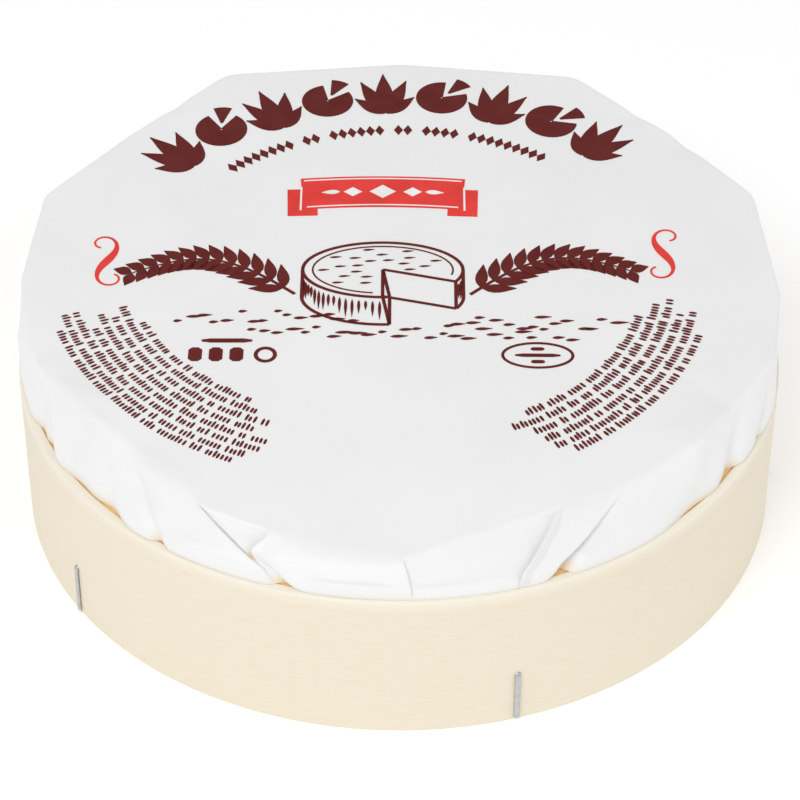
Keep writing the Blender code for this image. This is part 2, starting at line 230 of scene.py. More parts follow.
# %% Mottle group
FINER = 14.0
mottle, mottle_in, mottle_out = new_group(
    "soft_mottle",
    [("Vector", "NodeSocketVector", None), ("Size", "NodeSocketFloat", 100.0)],
    [("Value", "NodeSocketFloat"), ("Fine", "NodeSocketFloat")],
)
broad = add_node(mottle, "ShaderNodeTexNoise", {}, {"Detail": 4.0, "Roughness": 0.55})
fine_size = weighted_sum(mottle, [(mottle_in.outputs["Size"], FINER)])
fine = add_node(mottle, "ShaderNodeTexNoise", {}, {"Detail": 2.0, "Roughness": 0.6})
feed(mottle, broad, {"Vector": mottle_in.outputs["Vector"], "Scale": mottle_in.outputs["Size"]})
feed(mottle, fine, {"Vector": mottle_in.outputs["Vector"], "Scale": fine_size})
patches = ramp_between(mottle, broad.outputs["Fac"], 0.3, 0.7)
feed(mottle, mottle_out, {"Value": patches, "Fine": fine.outputs["Fac"]})
print("group", mottle.name, "has", len(mottle.nodes), "nodes")

# %% [markdown]
# Poplar veneer is pale cream wood with almost no figure: broad soft bands, hair-fine streaks along the
# grain, and short darker pores. All three are the same noise, stretched more and more along the grain.
# The group takes a vector whose first number runs along the grain and whose second runs across it.

# %% Wood grain group
grain, grain_in, grain_out = new_group(
    "poplar_grain",
    [
        ("Vector", "NodeSocketVector", None),
        ("Pale", "NodeSocketColor", (0.90, 0.83, 0.68, 1.0)),
        ("Streak", "NodeSocketColor", (0.84, 0.70, 0.50, 1.0)),
        ("Pore", "NodeSocketColor", (0.50, 0.36, 0.20, 1.0)),
    ],
    [("Colour", "NodeSocketColor"), ("Height", "NodeSocketFloat"), ("Rough", "NodeSocketFloat")],
)
along = grain_in.outputs["Vector"]
bands = ramp_between(grain, stretched_noise(grain, along, (14.0, 150.0, 150.0), 2.0), 0.30, 0.75, 0.0, 0.12)
streaks = stretched_noise(grain, along, (330.0, 3000.0, 3000.0), 3.0, 0.62)
hairs = ramp_between(grain, streaks, 0.46, 0.68, 0.0, 0.52)
pores = ramp_between(grain, stretched_noise(grain, along, (900.0, 5200.0, 5200.0), 1.0, 0.5), 0.74, 0.80)
toned = mix_colour(grain, bands, grain_in.outputs["Pale"], grain_in.outputs["Streak"])
streaked = mix_colour(grain, hairs, toned, grain_in.outputs["Streak"])
pore_share = weighted_sum(grain, [(pores, 0.35)])
feed(grain, grain_out, {
    "Colour": mix_colour(grain, pore_share, streaked, grain_in.outputs["Pore"]),
    "Height": weighted_sum(grain, [(streaks, 1.0), (pores, -0.6)]),
    "Rough": ramp_between(grain, streaks, 0.3, 0.7, 0.55, 0.68),
})
print("group", grain.name, "has", len(grain.nodes), "nodes")

# %% [markdown]
# A material starts from the Principled shader with its even values on its own sockets. What changes
# over the surface comes in by links: colour, roughness, and a height that a Bump node turns into
# normals. The bump distance is the real depth of the relief in metres.

# %% Material helpers
def new_material(name, colour, roughness, metallic=0.0, specular=0.5):
    """A node material and its Principled shader, with even values set on the shader itself."""
    material = bpy.data.materials.new(name)
    material.use_nodes = True
    material.diffuse_color = colour
    shader = material.node_tree.nodes["Principled BSDF"]
    values = {"Base Color": colour, "Roughness": roughness, "Metallic": metallic}
    values["Specular IOR Level"] = specular
    for label, value in values.items():
        shader.inputs[label].default_value = value
    return material, material.node_tree, shader


def add_group(tree, group, vector, values=()):
    """A node group placed in a material, fed with a vector."""
    node = add_node(tree, "ShaderNodeGroup", {"node_tree": group}, values)
    feed(tree, node, {"Vector": vector})
    return node


def add_bump(tree, shader, height, depth_mm):
    """Relief of a real depth from a height between 0 and 1."""
    bump = add_node(tree, "ShaderNodeBump", {}, {"Strength": 1.0, "Distance": depth_mm * MM})
    feed(tree, bump, {"Height": height})
    feed(tree, shader, {"Normal": bump.outputs["Normal"]})


def coordinates(tree, label):
    """The Object or UV output of a Texture Coordinate node."""
    return add_node(tree, "ShaderNodeTexCoord").outputs[label]


# %% Wood materials
def make_wood(name, label, pale):
    """Veneer whose grain runs along the first number of the named coordinates, with a painted highlight where
    it is marked.
    """
    material, tree, shader = new_material(name, pale, 0.6, specular=0.35)
    wood = add_group(tree, grain, coordinates(tree, label), {"Pale": pale})
    # A pale colour over the marked top of the strip is a painted highlight of the rounded rim
    with_highlight = mix_colour(tree, point_value(tree, "painted_rim_highlight"), wood.outputs["Colour"], (0.95, 0.91, 0.80, 1.0))
    feed(tree, shader, {"Base Color": with_highlight, "Roughness": wood.outputs["Rough"]})
    add_bump(tree, shader, wood.outputs["Height"], 0.03)
    return material


hoop_wood = make_wood("poplar_strip", "UV", (0.843, 0.780, 0.645, 1.0))
base_wood = make_wood("poplar_board", "Object", (0.88, 0.79, 0.62, 1.0))
print("wood materials:", hoop_wood.name, base_wood.name)

# %% [markdown]
# The staples are thin zinc-coated steel wire. Zinc is a dull metal: full metallic, a middle grey, and a
# roughness that wanders a little where the stapler rubbed the coat.

# %% Wire material
wire_metal, wire_tree, wire_shader = new_material("zinc_wire", (0.52, 0.53, 0.545, 1.0), 0.42, 1.0)
wire_mottle = add_group(wire_tree, mottle, coordinates(wire_tree, "Object"), {"Size": 900.0})
wire_uneven = wire_mottle.outputs["Value"]
wire_tone = mix_colour(wire_tree, wire_uneven, (0.46, 0.47, 0.49, 1.0), (0.60, 0.61, 0.625, 1.0))
wire_rough = ramp_between(wire_tree, wire_uneven, 0.0, 1.0, 0.34, 0.5)
feed(wire_tree, wire_shader, {"Base Color": wire_tone, "Roughness": wire_rough})
add_bump(wire_tree, wire_shader, wire_mottle.outputs["Fine"], 0.01)
print("wire material has", len(wire_tree.nodes), "nodes")

# %% [markdown]
# The wrap is thin white paper with a waxed face: bright, with a faint mottle, a soft sheen and a few tiny
# flecks. A number on every point, "folded", tells the material where the sheet is pleated, so that the
# crinkles stay off the top. A painted amber glow, in base colour and emission, stands in for light that
# comes through the thin veneer into the gaps between paper and wood, and a second number says where.

# %% Paper material
FLECK_SCALE = 95.0
# Emission strength of the painted amber glow
PAINTED_GLOW = 0.14


def flecks(tree, vector):
    """1 in a few tiny specks: near the middle of those cells whose own random number is high."""
    cells = add_node(tree, "ShaderNodeTexVoronoi", {}, {"Scale": FLECK_SCALE})
    split = add_node(tree, "ShaderNodeSeparateColor")
    feed(tree, cells, {"Vector": vector})
    feed(tree, split, {"Color": cells.outputs["Color"]})
    near = ramp_between(tree, cells.outputs["Distance"], 0.008, 0.017, 1.0, 0.0)
    return product(tree, near, ramp_between(tree, split.outputs["Red"], 0.55, 0.60))


def make_paper():
    """Waxed paper: mottle and flecks, crinkles where it is folded, and a painted amber glow where it is
    marked.
    """
    material, tree, shader = new_material("waxed_paper", (0.87, 0.875, 0.865, 1.0), 0.42, specular=0.4)
    shader.inputs["Subsurface Weight"].default_value = 0.08
    shader.inputs["Subsurface Radius"].default_value = (1.0, 0.95, 0.85)
    shader.inputs["Subsurface Scale"].default_value = 0.0012
    shader.inputs["Emission Strength"].default_value = PAINTED_GLOW
    place = coordinates(tree, "Object")
    uneven = add_group(tree, mottle, place, {"Size": 55.0})
    value = uneven.outputs["Value"]
    tone = mix_colour(tree, value, (0.858, 0.864, 0.850, 1.0), (0.885, 0.892, 0.892, 1.0))
    flecked = mix_colour(tree, flecks(tree, place), tone, (0.45, 0.40, 0.33, 1.0))
    # Painted amber glow: base colour and emission turn amber where the points are marked, standing in for
    # light through the wood
    painted_glow = point_value(tree, "painted_glow")
    feed(tree, shader, {
        "Base Color": mix_colour(tree, painted_glow, flecked, (0.82, 0.57, 0.27, 1.0)),
        "Emission Color": mix_colour(tree, painted_glow, (0.0, 0.0, 0.0, 1.0), (0.78, 0.46, 0.15, 1.0)),
        "Roughness": ramp_between(tree, value, 0.0, 1.0, 0.38, 0.48),
    })
    crinkle = stretched_noise(tree, place, (240.0, 240.0, 240.0), 5.0, 0.62)
    crinkled = product(tree, crinkle, point_value(tree, "folded"))
    add_bump(tree, shader, weighted_sum(tree, [(crinkled, 1.0), (uneven.outputs["Fine"], 0.10)]), 0.09)
    return material


paper = make_paper()
print("paper material has", len(paper.node_tree.nodes), "nodes")


# %% Ink materials
def make_ink(name, colour, roughness):
    """Printing ink on the waxed face: a flat colour that lets a little of the paper's mottle through."""
    material, tree, shader = new_material(name, colour, roughness, specular=0.08)
    patches = add_group(tree, mottle, coordinates(tree, "Object"), {"Size": 260.0})
    worn = tuple(min(1.0, channel * 1.16 + 0.006) for channel in colour[:3]) + (1.0,)
    rough = ramp_between(tree, patches.outputs["Fine"], 0.3, 0.7, roughness - 0.04, roughness + 0.05)
    inked = mix_colour(tree, patches.outputs["Value"], colour, worn)
    feed(tree, shader, {"Base Color": inked, "Roughness": rough})
    return material


maroon_ink = make_ink("maroon_ink", (0.118, 0.014, 0.012, 1.0), 0.42)
red_ink = make_ink("red_ink", (0.74, 0.050, 0.042, 1.0), 0.40)
white_ink = make_ink("white_ink", (0.84, 0.82, 0.80, 1.0), 0.42)
print("inks:", maroon_ink.name, red_ink.name, white_ink.name)

# %% [markdown]
# The hoop is one strip of veneer bent round, with its ends lapped and glued at the back. A strip is a
# small profile carried along a path, so that is how it is made: a rounded rectangle carried once round
# and a little more. Its outer end rides over the inner one and eases down over a short ramp.

# %% Hoop
HOOP_OUTER_R = 57.0
VENEER = 1.5
HOOP_INNER_R = HOOP_OUTER_R - VENEER
HOOP_HEIGHT = 24.4
LAP_FROM = -163.0
LAP_TO = -140.0
LAP_RAMP = 7.0
STRIP_STEP = 0.75
STRIP_TURN = 360.0 + LAP_TO - LAP_FROM


def strip_profile():
    """Offsets (outwards, up) round the strip's cut end: a rectangle with quarter circles for corners.

    The corners are given as (outwards, up, radius, start angle), and each is walked in five points.
    """
    corners = (
        (VENEER, HOOP_HEIGHT, 0.32, 0.0), (0.0, HOOP_HEIGHT, 0.20, 90.0),
        (0.0, 0.0, 0.15, 180.0), (VENEER, 0.0, 0.20, 270.0),
    )
    rounds = []
    for out, up, radius, start in corners:
        angle = np.radians(start + np.linspace(0.0, 90.0, 5))
        centre = (out - math.copysign(radius, out - VENEER / 2), up - math.copysign(radius, up - 1.0))
        rounds.append(np.array(centre) + radius * np.stack([np.cos(angle), np.sin(angle)], axis=1))
    inner_face = np.column_stack([np.zeros(6), np.linspace(HOOP_HEIGHT - 2.0, 2.0, 6)])
    outer_face = np.column_stack([np.full(10, VENEER), np.linspace(2.0, HOOP_HEIGHT - 2.0, 10)])
    return np.concatenate([rounds[0], rounds[1], inner_face, rounds[2], rounds[3], outer_face])


def make_strip():
    """The profile carried along the strip: radius = hoop radius + lap offset + outwards."""
    profile = strip_profile()
    travel = np.arange(0.0, STRIP_TURN + 0.01, STRIP_STEP)
    azimuth = LAP_FROM + travel
    lap = (VENEER + 0.05) * (1.0 - smooth_step((travel - (LAP_TO - LAP_FROM)) / LAP_RAMP))
    wave = 0.025 * np.sin(np.radians(3.0 * azimuth + 40.0)) + 0.015 * np.sin(np.radians(11.0 * azimuth))
    upper = smooth_step((profile[:, 1] - 2.0) / 20.0)
    radius = HOOP_INNER_R + lap[:, None] + profile[None, :, 0]
    height = profile[None, :, 1] + wave[:, None] * upper[None, :]
    points = polar(radius, azimuth[:, None], height)
    rows, columns = radius.shape
    quads = grid_quads(rows, columns, round_columns=True)
    caps = [np.arange(columns), np.arange((rows - 1) * columns, rows * columns)[::-1]]

    length = np.radians(travel) * HOOP_OUTER_R
    edges = np.linalg.norm(np.roll(profile, -1, axis=0) - profile, axis=1)
    around = np.concatenate([[0.0], np.cumsum(edges)])
    u = np.broadcast_to(length[:, None], (rows, columns + 1))
    v = np.broadcast_to(around[None, :], (rows, columns + 1))
    grid = np.stack([u, v], axis=-1) * MM
    corners = np.stack([grid[:-1, :-1], grid[1:, :-1], grid[1:, 1:], grid[:-1, 1:]], axis=2).reshape(-1, 2)
    ends = [profile[cap % columns] * MM for cap in caps]
    uv = np.concatenate([corners, *ends])
    return points.reshape(-1, 3), [*quads.tolist(), *[cap.tolist() for cap in caps]], uv


strip_points, strip_faces, strip_uv = make_strip()
hoop = mesh_piece("hoop_strip", strip_points, strip_faces, hoop_wood, 35.0, strip_uv)
# Painted highlight on the top half millimetre of the strip, where the rim catches the light
point_values(hoop, "painted_rim_highlight", 0.6 * smooth_step((strip_points[:, 2] - 23.9) / 0.3))
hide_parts("wood_hoop")

# %% [markdown]
# The base is a thin round board let into the hoop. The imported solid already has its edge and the
# grooves for the staples, so it stays and gets wood whose grain runs straight across.

# %% Base
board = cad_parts["wood_base"]
board.data.materials.clear()
board.data.materials.append(base_wood)

# %% [markdown]
# Five staples tie the hoop to the base. Each is a flattened wire: one leg pierces the hoop, the crown
# runs down outside it, and the other leg is folded under the base. An oval is carried along that path
# on the front once, and the whole array of points is then turned to the five places.

# %% Staples
STAPLE_FIRST = -54.9
STAPLE_COUNT = 5
STAPLE_TOP_Z = 9.0
STAPLE_LOW_Z = 0.40
STAPLE_LEG_R = 50.2
STAPLE_BEND = 0.55
WIRE_WIDE = 0.82
WIRE_THICK = 0.46
WIRE_SIDES = 16


def rounded_path(corners, radius, points_each=7):
    """A polyline whose inner corners become quadratic bends that start `radius` from the corner."""
    corners = np.asarray(corners, dtype=float)
    pieces = [corners[:1]]
    share = np.linspace(0.0, 1.0, points_each)[:, None]
    for before, corner, after in zip(corners[:-2], corners[1:-1], corners[2:]):
        start = corner + (before - corner) / np.linalg.norm(before - corner) * radius
        end = corner + (after - corner) / np.linalg.norm(after - corner) * radius
        pieces.append((1 - share) ** 2 * start + 2 * share * (1 - share) * corner + share**2 * end)
    return np.concatenate([*pieces, corners[-1:]])


def make_staple_points():
    """One staple on the front as rows of an oval, in millimetres: across x, outwards -y, up z."""
    crown = HOOP_OUTER_R + WIRE_THICK / 2 + 0.02
    route = [(HOOP_INNER_R + 0.3, STAPLE_TOP_Z), (crown, STAPLE_TOP_Z)]
    route += [(crown, STAPLE_LOW_Z), (STAPLE_LEG_R, STAPLE_LOW_Z)]
    path = rounded_path(route, STAPLE_BEND)
    slope = np.gradient(path, axis=0)
    slope /= np.linalg.norm(slope, axis=1, keepdims=True)
    angle = -np.radians(np.arange(WIRE_SIDES) * 360.0 / WIRE_SIDES)
    wide, thick = np.cos(angle) * WIRE_WIDE / 2, np.sin(angle) * WIRE_THICK / 2
    radius = path[:, :1] - slope[:, 1:] * thick
    height = path[:, 1:] + slope[:, :1] * thick
    return np.stack([np.broadcast_to(wide, radius.shape), -radius, height], axis=-1)


staple = make_staple_points()
staple_rows, staple_columns = staple.shape[:2]
staple_faces = grid_quads(staple_rows, staple_columns, round_columns=True).tolist()
staple_faces.append(list(range(staple_columns)))
staple_faces.append(list(range((staple_rows - 1) * staple_columns, staple_rows * staple_columns))[::-1])
for number in range(STAPLE_COUNT):
    turned = math.radians(STAPLE_FIRST + 360.0 / STAPLE_COUNT * number)
    rotation = np.array(Matrix.Rotation(turned, 3, "Z"))
    points = staple.reshape(-1, 3) @ rotation.T
    piece = mesh_piece(f"staple_wire_{number + 1}", points, staple_faces, wire_metal)
    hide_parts(f"staple_{number + 1}")

# %% [markdown]
# The wrapped cheese is a low drum. Its top is a plane that rises gently to the back and rolls over at
# the front. The paper's edge is a ring of straight folds, because the sheet was gathered by hand or
# machine into pleats: each chord between two corners is straight. In polar form the straight line
# between two corners is r0 r1 sin(a1-a0) / (r0 sin(a-a0) + r1 sin(a1-a)).

# %% Shape of the wrapped cheese
TOP_Z = 34.6
TOP_RISE = 0.075
FRONT_ROLL_Y = -35.0
FRONT_ROLL_LENGTH = 19.0
FRONT_ROLL_DROP = 1.6
# Swells and hollows of the top: middle (x, y), radius and rise
TOP_SWELLS = (
    (4.0, -46.0, 9.0, 0.35), (-20.0, -38.0, 10.0, -0.25), (24.0, -36.0, 9.0, -0.35),
    (45.0, -22.0, 4.0, -0.45), (40.0, -31.0, 4.0, 0.35), (-42.0, -26.0, 5.0, 0.30),
    (-35.0, -32.0, 4.5, -0.25), (0.0, 10.0, 30.0, 0.30), (-48.0, -10.0, 6.0, 0.25),
    (30.0, 40.0, 9.0, -0.20), (-25.0, 44.0, 8.0, 0.20), (-7.6, -31.2, 2.6, -0.10), (37.0, 42.6, 2.0, -0.40),
    (44.6, 35.2, 2.4, -0.35), (-36.2, 44.8, 1.8, -0.35), (-46.0, -26.5, 2.4, -0.25),
    (-51.5, -17.5, 2.2, 0.25),
)
# Creases on the top: from (x, y) to (x, y), width and rise
TOP_CREASES = (
    (42.8, -19.7, 47.4, -24.6, 0.8, -0.16), (37.6, -18.4, 43.0, -18.8, 0.7, -0.10),
    (31.0, -31.0, 40.0, -29.5, 1.2, 0.12), (-36.5, -33.5, -28.5, -40.5, 1.0, 0.20),
    (-47.5, -21.0, -41.5, -24.0, 0.8, 0.14), (46.0, 6.0, 50.0, -3.0, 1.0, -0.10),
    (-50.0, -15.5, -47.0, -22.5, 0.8, 0.16), (-43.5, -25.0, -38.5, -29.0, 0.7, -0.12),
)
# Corners of the paper's upper edge: azimuth and radius
EDGE_CORNERS = (
    (-152.0, 60.2), (-131.0, 56.7), (-112.0, 59.2), (-92.0, 56.6), (-76.0, 55.2), (-70.0, 54.7),
    (-67.0, 53.2), (-60.0, 51.7), (-50.0, 50.0), (-46.5, 50.3), (-43.0, 51.5), (-40.0, 50.7),
    (-35.0, 50.4), (-32.5, 51.8), (-20.0, 51.3), (-14.0, 51.7), (-10.0, 52.7), (1.0, 53.3),
    (10.0, 50.2), (18.0, 49.2), (33.0, 49.7), (39.0, 51.0), (51.0, 52.3), (54.0, 53.3),
    (63.0, 53.5), (75.0, 56.5), (90.0, 56.7), (113.0, 59.4), (132.0, 57.4), (152.0, 60.1),
    (180.0, 56.2),
)
# The short arc over which the edge is averaged: degrees to the side, and share
EDGE_SOFTENING = ((-1.5, 0.15), (-0.75, 0.2), (0.0, 0.3), (0.75, 0.2), (1.5, 0.15))


def top_height(x, y):
    """Height of the top: plane, minus the soft roll at the front, plus round swells and creases.

    A swell is a bell curve of the distance from its middle. A crease falls off on both sides of a line.
    """
    height = TOP_Z + TOP_RISE * y - FRONT_ROLL_DROP * smooth_step((FRONT_ROLL_Y - y) / FRONT_ROLL_LENGTH)
    for swell_x, swell_y, radius, rise in TOP_SWELLS:
        height = height + rise * np.exp(-((x - swell_x) ** 2 + (y - swell_y) ** 2) / radius**2)
    for x0, y0, x1, y1, width, rise in TOP_CREASES:
        long = math.hypot(x1 - x0, y1 - y0)
        along = ((x - x0) * (x1 - x0) + (y - y0) * (y1 - y0)) / long
        past = np.maximum(np.maximum(-along, along - long), 0.0)
        away = np.abs((x - x0) * (y1 - y0) - (y - y0) * (x1 - x0)) / long
        height = height + rise * np.exp(-away / width - (past / 1.5) ** 2)
    return height


def edge_radius(azimuth):
    """Radius of the paper's upper edge: chords between the corners, averaged over a short arc."""
    before, first = EDGE_CORNERS[-1], EDGE_CORNERS[0]
    corners = np.array([(before[0] - 360.0, before[1]), *EDGE_CORNERS, (first[0] + 360.0, first[1])])
    knots, radii = np.radians(corners[:, 0]), corners[:, 1]
    total = 0.0
    for shift, share in EDGE_SOFTENING:
        angle = np.radians(turn(azimuth + shift, 0.0))
        after = np.clip(np.searchsorted(knots, angle, side="right"), 1, len(knots) - 1)
        a0, a1, r0, r1 = knots[after - 1], knots[after], radii[after - 1], radii[after]
        chord = r0 * r1 * np.sin(a1 - a0) / (r0 * np.sin(angle - a0) + r1 * np.sin(a1 - angle))
        total = total + share * chord
    return total


sample = np.arange(-180.0, 180.0, 1.0)
print("paper edge radius from", edge_radius(sample).min().round(1), "to", edge_radius(sample).max().round(1))

# %% [markdown]
# A pleat is paper folded over itself like a Z: the upper layer runs out to a fold, turns back beneath
# itself, and turns again into the lower layer. Each pleat gets eleven extra columns that walk this Z.
# On the flat top the same columns lie evenly side by side, and the Z opens on the way down.

# %% Pleats
PLEAT_HALF = 0.30
PLEAT_CLEAR = 0.45
# Azimuth at the upper edge, azimuth at the rim, step in mm, and the side of the upper layer
PLEATS = (
    (-166.0, -171.0, 0.6, 1), (-150.0, -156.0, 0.9, 1), (-128.0, -123.0, 0.6, -1),
    (-110.0, -105.0, 0.9, -1), (-90.0, -88.0, 0.4, 1), (-79.0, -77.0, 0.25, -1),
    (-73.5, -71.5, 0.35, 1), (-70.0, -64.2, 0.7, 1), (-33.2, -17.4, 1.3, -1),
    (-20.5, -16.8, 1.6, 1), (0.8, 1.9, 0.8, -1), (27.0, 16.7, 1.4, 1),
    (38.5, 22.4, 0.55, -1), (66.0, 59.2, 0.3, -1), (71.0, 62.8, 0.12, 1),
    (82.0, 79.0, 0.18, -1), (97.0, 99.0, 0.6, 1), (115.0, 109.0, 0.9, 1),
    (134.0, 139.0, 0.6, -1), (153.0, 147.0, 0.9, -1), (172.0, 168.0, 0.5, 1),
)
# How far a pleat is open at the upper edge, halfway down and at the rim, where it isn't the usual
USUAL_OPENING = (0.5, 1.0, 1.0)
PLEAT_OPENINGS = {
    -79.0: (0.3, 1.0, 1.0), -33.2: (0.25, 1.0, 0.55), -20.5: (0.3, 1.0, 0.0), 0.8: (0.55, 1.0, 1.0),
    27.0: (0.7, 1.0, 1.0), 38.5: (0.1, 0.8, 1.0), 66.0: (0.1, 0.8, 1.0), 71.0: (0.1, 0.8, 1.0),
}
# Pleats that aren't pressed to a fold: azimuth at the edge, and half width of the soft step in degrees
SOFT_PLEATS = {-79.0: 1.2, -73.5: 0.7, 38.5: 2.4, 66.0: 2.0, 71.0: 2.0, 82.0: 2.2}
# Fold lines that bow sideways on their way down: azimuth at the edge, and bow in degrees
PLEAT_BOWS = {-20.5: -3.6, 38.5: 1.0}
# Folds whose lower layer runs further back under the upper one: azimuth at the edge, and how far
PLEAT_UNDERCUTS = {27.0: 5.0, -70.0: 1.6}
PLEAT_OVER_SHARE = 0.4
PLEAT_OVER_REACH = 7.0
PLEAT_UNDER_REACH = 4.0
PLEAT_FULL_FROM = 0.12
PLEAT_PRESSED_AT_RIM = 0.5
FOLD_PAPER = 0.08
# The Z of a pleat: degrees past the fold line towards the upper layer, and share from low (0) to high (1)
FOLD_WALK = (
    (-PLEAT_HALF, 0.0), (0.0, 0.0), (0.08, 0.02), (0.14, 0.10), (0.16, 0.30), (0.14, 0.62),
    (0.09, 0.90), (0.02, 1.0), (-0.05, 1.0), (0.02, 1.0), (PLEAT_HALF, 1.0),
)
FOLD_LAYER = (0.0, 0.0, 0.0, 0.0, 0.0, 0.0, -0.4, -1.0, -0.5, 0.0, 0.0)
WRAP_STEP = 0.42


def pleat_opening(edge):
    """A column of three numbers, from 0 to 1: how open a pleat is at the edge, halfway and at the rim."""
    return np.array(PLEAT_OPENINGS.get(edge, USUAL_OPENING))[:, None]


def pleat_relief(azimuth, skip=None):
    """Offset of the folded side from all pleats, raised on the upper fold and sunk beside it.

    It comes back as three rows: at the upper edge, halfway down, and at the rim.
    """
    total = np.zeros((3, len(azimuth)))
    for edge, _, step, over in PLEATS:
        if edge == skip:
            continue
        side = turn(azimuth, edge) * over
        raised = PLEAT_OVER_SHARE * np.exp(-np.abs(side) / PLEAT_OVER_REACH)
        sunk = (PLEAT_OVER_SHARE - 1.0) * np.exp(-np.abs(side) / PLEAT_UNDER_REACH)
        above = smooth_step(0.5 + side / (2.0 * SOFT_PLEATS.get(edge, 0.001)))
        total = total + pleat_opening(edge) * step * (raised * above + sunk * (1.0 - above))
    return total


def pleat_slant(azimuth, place=1.0):
    """How far a line has turned at a place down the side: evenly to the rim, plus a bow between.

    It is known on every pleat and read between the pleats, so that no two lines cross.
    """
    edges = np.array([pleat[0] for pleat in PLEATS])
    slants = np.array([pleat[1] - pleat[0] for pleat in PLEATS])
    bows = np.array([PLEAT_BOWS.get(pleat[0], 0.0) for pleat in PLEATS])
    slant, bow = (np.interp(azimuth, edges, values, period=360.0) for values in (slants, bows))
    return slant * place + bow * np.sin(np.pi * place**1.6)


def wrap_columns():
    """For every column: azimuth lying flat, then its turn when folded and its lift, each at three places."""
    walk, layer = np.array(FOLD_WALK), np.array(FOLD_LAYER)
    spread = np.linspace(-PLEAT_HALF, PLEAT_HALF, len(walk))
    even = np.arange(-180.0, 180.0, WRAP_STEP)
    pressed = [pleat for pleat in PLEATS if pleat[0] not in SOFT_PLEATS]
    edges = np.array([pleat[0] for pleat in pressed])
    clear = np.all(np.abs(turn(even[:, None], edges[None, :])) > PLEAT_CLEAR, axis=1)
    even = even[clear]
    flat, folding, lift = [even], [np.zeros((3, len(even)))], [pleat_relief(even)]
    for edge, _, step, over in pressed:
        near = pleat_relief(np.full(len(walk), edge), skip=edge)
        opening = pleat_opening(edge)
        low, high = (PLEAT_OVER_SHARE - 1.0) * step, PLEAT_OVER_SHARE * step
        amount = near + opening * (low + (high - low) * walk[:, 1] + FOLD_PAPER * layer)
        order = slice(None) if over > 0 else slice(None, None, -1)
        under = np.where(walk[:, 0] > 0.05, walk[:, 0] * PLEAT_UNDERCUTS.get(edge, 1.0), walk[:, 0])
        flat.append(edge + over * spread[order])
        folding.append((opening * over * (under - spread))[:, order])
        lift.append(amount[:, order])
    flat = np.concatenate(flat)
    folding, lift = np.concatenate(folding, axis=1), np.concatenate(lift, axis=1)
    order = np.argsort(flat, kind="stable")
    return flat[order], folding[:, order], lift[:, order]


def at_place(stations, place):
    """Values at a place down the side from the rows at the edge, halfway and at the rim, softly blended."""
    upper = smooth_step(place / 0.5)
    lower = smooth_step((place - 0.55) / 0.27)
    return stations[0] * (1.0 - upper) + stations[1] * (upper - lower) + stations[2] * lower


column_flat, column_folding, column_lift = wrap_columns()
print("wrap columns", len(column_flat), "for", len(PLEATS), "pleats,", len(SOFT_PLEATS), "of them soft")

# %% [markdown]
# Down its side the paper rounds the shoulder, runs slanting to the rim in flat facets, bulges over the
# hoop's edge, and tucks in behind it. Each row of the grid is one ring of that way. Soft dents and
# ridges are bell curves in azimuth and in place down the side. Gaps are places where the paper stands
# off the wood.

# %% Folded side
BULGE_R = 56.38
BULGE_Z = HOOP_HEIGHT + 1.1
TOUCH_R = 56.38
TOUCH_Z = HOOP_HEIGHT + 0.05
TUCK_R = HOOP_INNER_R - 0.12
FOOT_PROFILE = ((54.6, 14.0), (54.0, 5.5), (52.6, 3.0), (51.8, 2.3))
BULGE_FROM = 0.88
CORNER_UP = 0.7
# Azimuth and roundness of the upper edge: crisp over the front flaps, softer where the paper is crumpled
SHOULDERS = (
    (-180, 0.9), (-95, 0.7), (-80, 0.6), (-60, 0.8), (-45, 0.7), (-38, 0.7), (-34.5, 0.40), (-19, 0.45),
    (-14, 1.7), (-2, 1.5), (1.5, 0.40), (27, 0.40), (31, 0.6), (60, 0.6), (90, 0.7), (180, 0.9),
)
# Where the paper stands off the wood, or over it below 0: azimuth, half width in degrees, depth in mm
RIM_GAPS = (
    (-84.0, 5.0, -0.45), (-67.8, 3.0, 1.0), (-63.4, 1.5, 1.5), (-53.8, 5.0, 0.95), (-46.5, 3.2, 1.15),
    (-36.3, 1.3, 1.0), (-16.2, 1.7, 1.2), (23.4, 1.4, 2.6), (48.3, 6.0, 0.95), (56.0, 2.0, 0.5),
    (58.4, 1.9, 1.35), (67.1, 1.0, 0.8), (75.0, 7.0, -0.5), (101.0, 6.0, 1.4), (128.0, 4.0, 1.0),
    (160.0, 7.0, 1.5), (-165.0, 6.0, 1.4), (-138.0, 6.0, 1.6), (-105.0, 5.0, 1.2),
)
# Dents of the side: azimuth, half width in degrees, place from edge (0) to rim (1), length, height
DENTS = (
    (-27.0, 5.5, 0.80, 0.18, 0.5), (-5.0, 5.0, 0.88, 0.18, 0.5), (9.0, 4.5, 0.70, 0.18, -0.3),
    (-43.0, 5.0, 0.45, 0.18, -0.4), (45.0, 6.0, 0.45, 0.18, -0.4), (72.0, 4.0, 0.5, 0.18, 0.3),
    (-84.0, 4.0, 0.5, 0.18, 0.3), (123.0, 7.0, 0.5, 0.18, -0.4), (162.0, 7.0, 0.6, 0.18, -0.4),
    (-162.0, 7.0, 0.5, 0.18, -0.4), (-120.0, 7.0, 0.5, 0.18, -0.4), (-10.5, 2.6, 0.86, 0.10, 0.28),
    (-31.0, 2.2, 0.82, 0.09, 0.22), (5.5, 3.0, 0.80, 0.12, -0.22), (-38.0, 2.0, 0.62, 0.16, 0.20),
    (33.0, 2.4, 0.55, 0.20, -0.24), (51.0, 2.2, 0.60, 0.18, 0.22), (-58.0, 2.4, 0.5, 0.2, -0.22),
    (77.0, 2.0, 0.6, 0.2, -0.12), (60.2, 1.6, 0.65, 0.35, -0.18), (-83.0, 2.4, 0.45, 0.25, 0.30),
    (-5.0, 4.6, 0.82, 0.06, 0.22), (-4.5, 4.0, 0.92, 0.05, -0.20), (5.0, 4.0, 0.86, 0.05, 0.16),
)


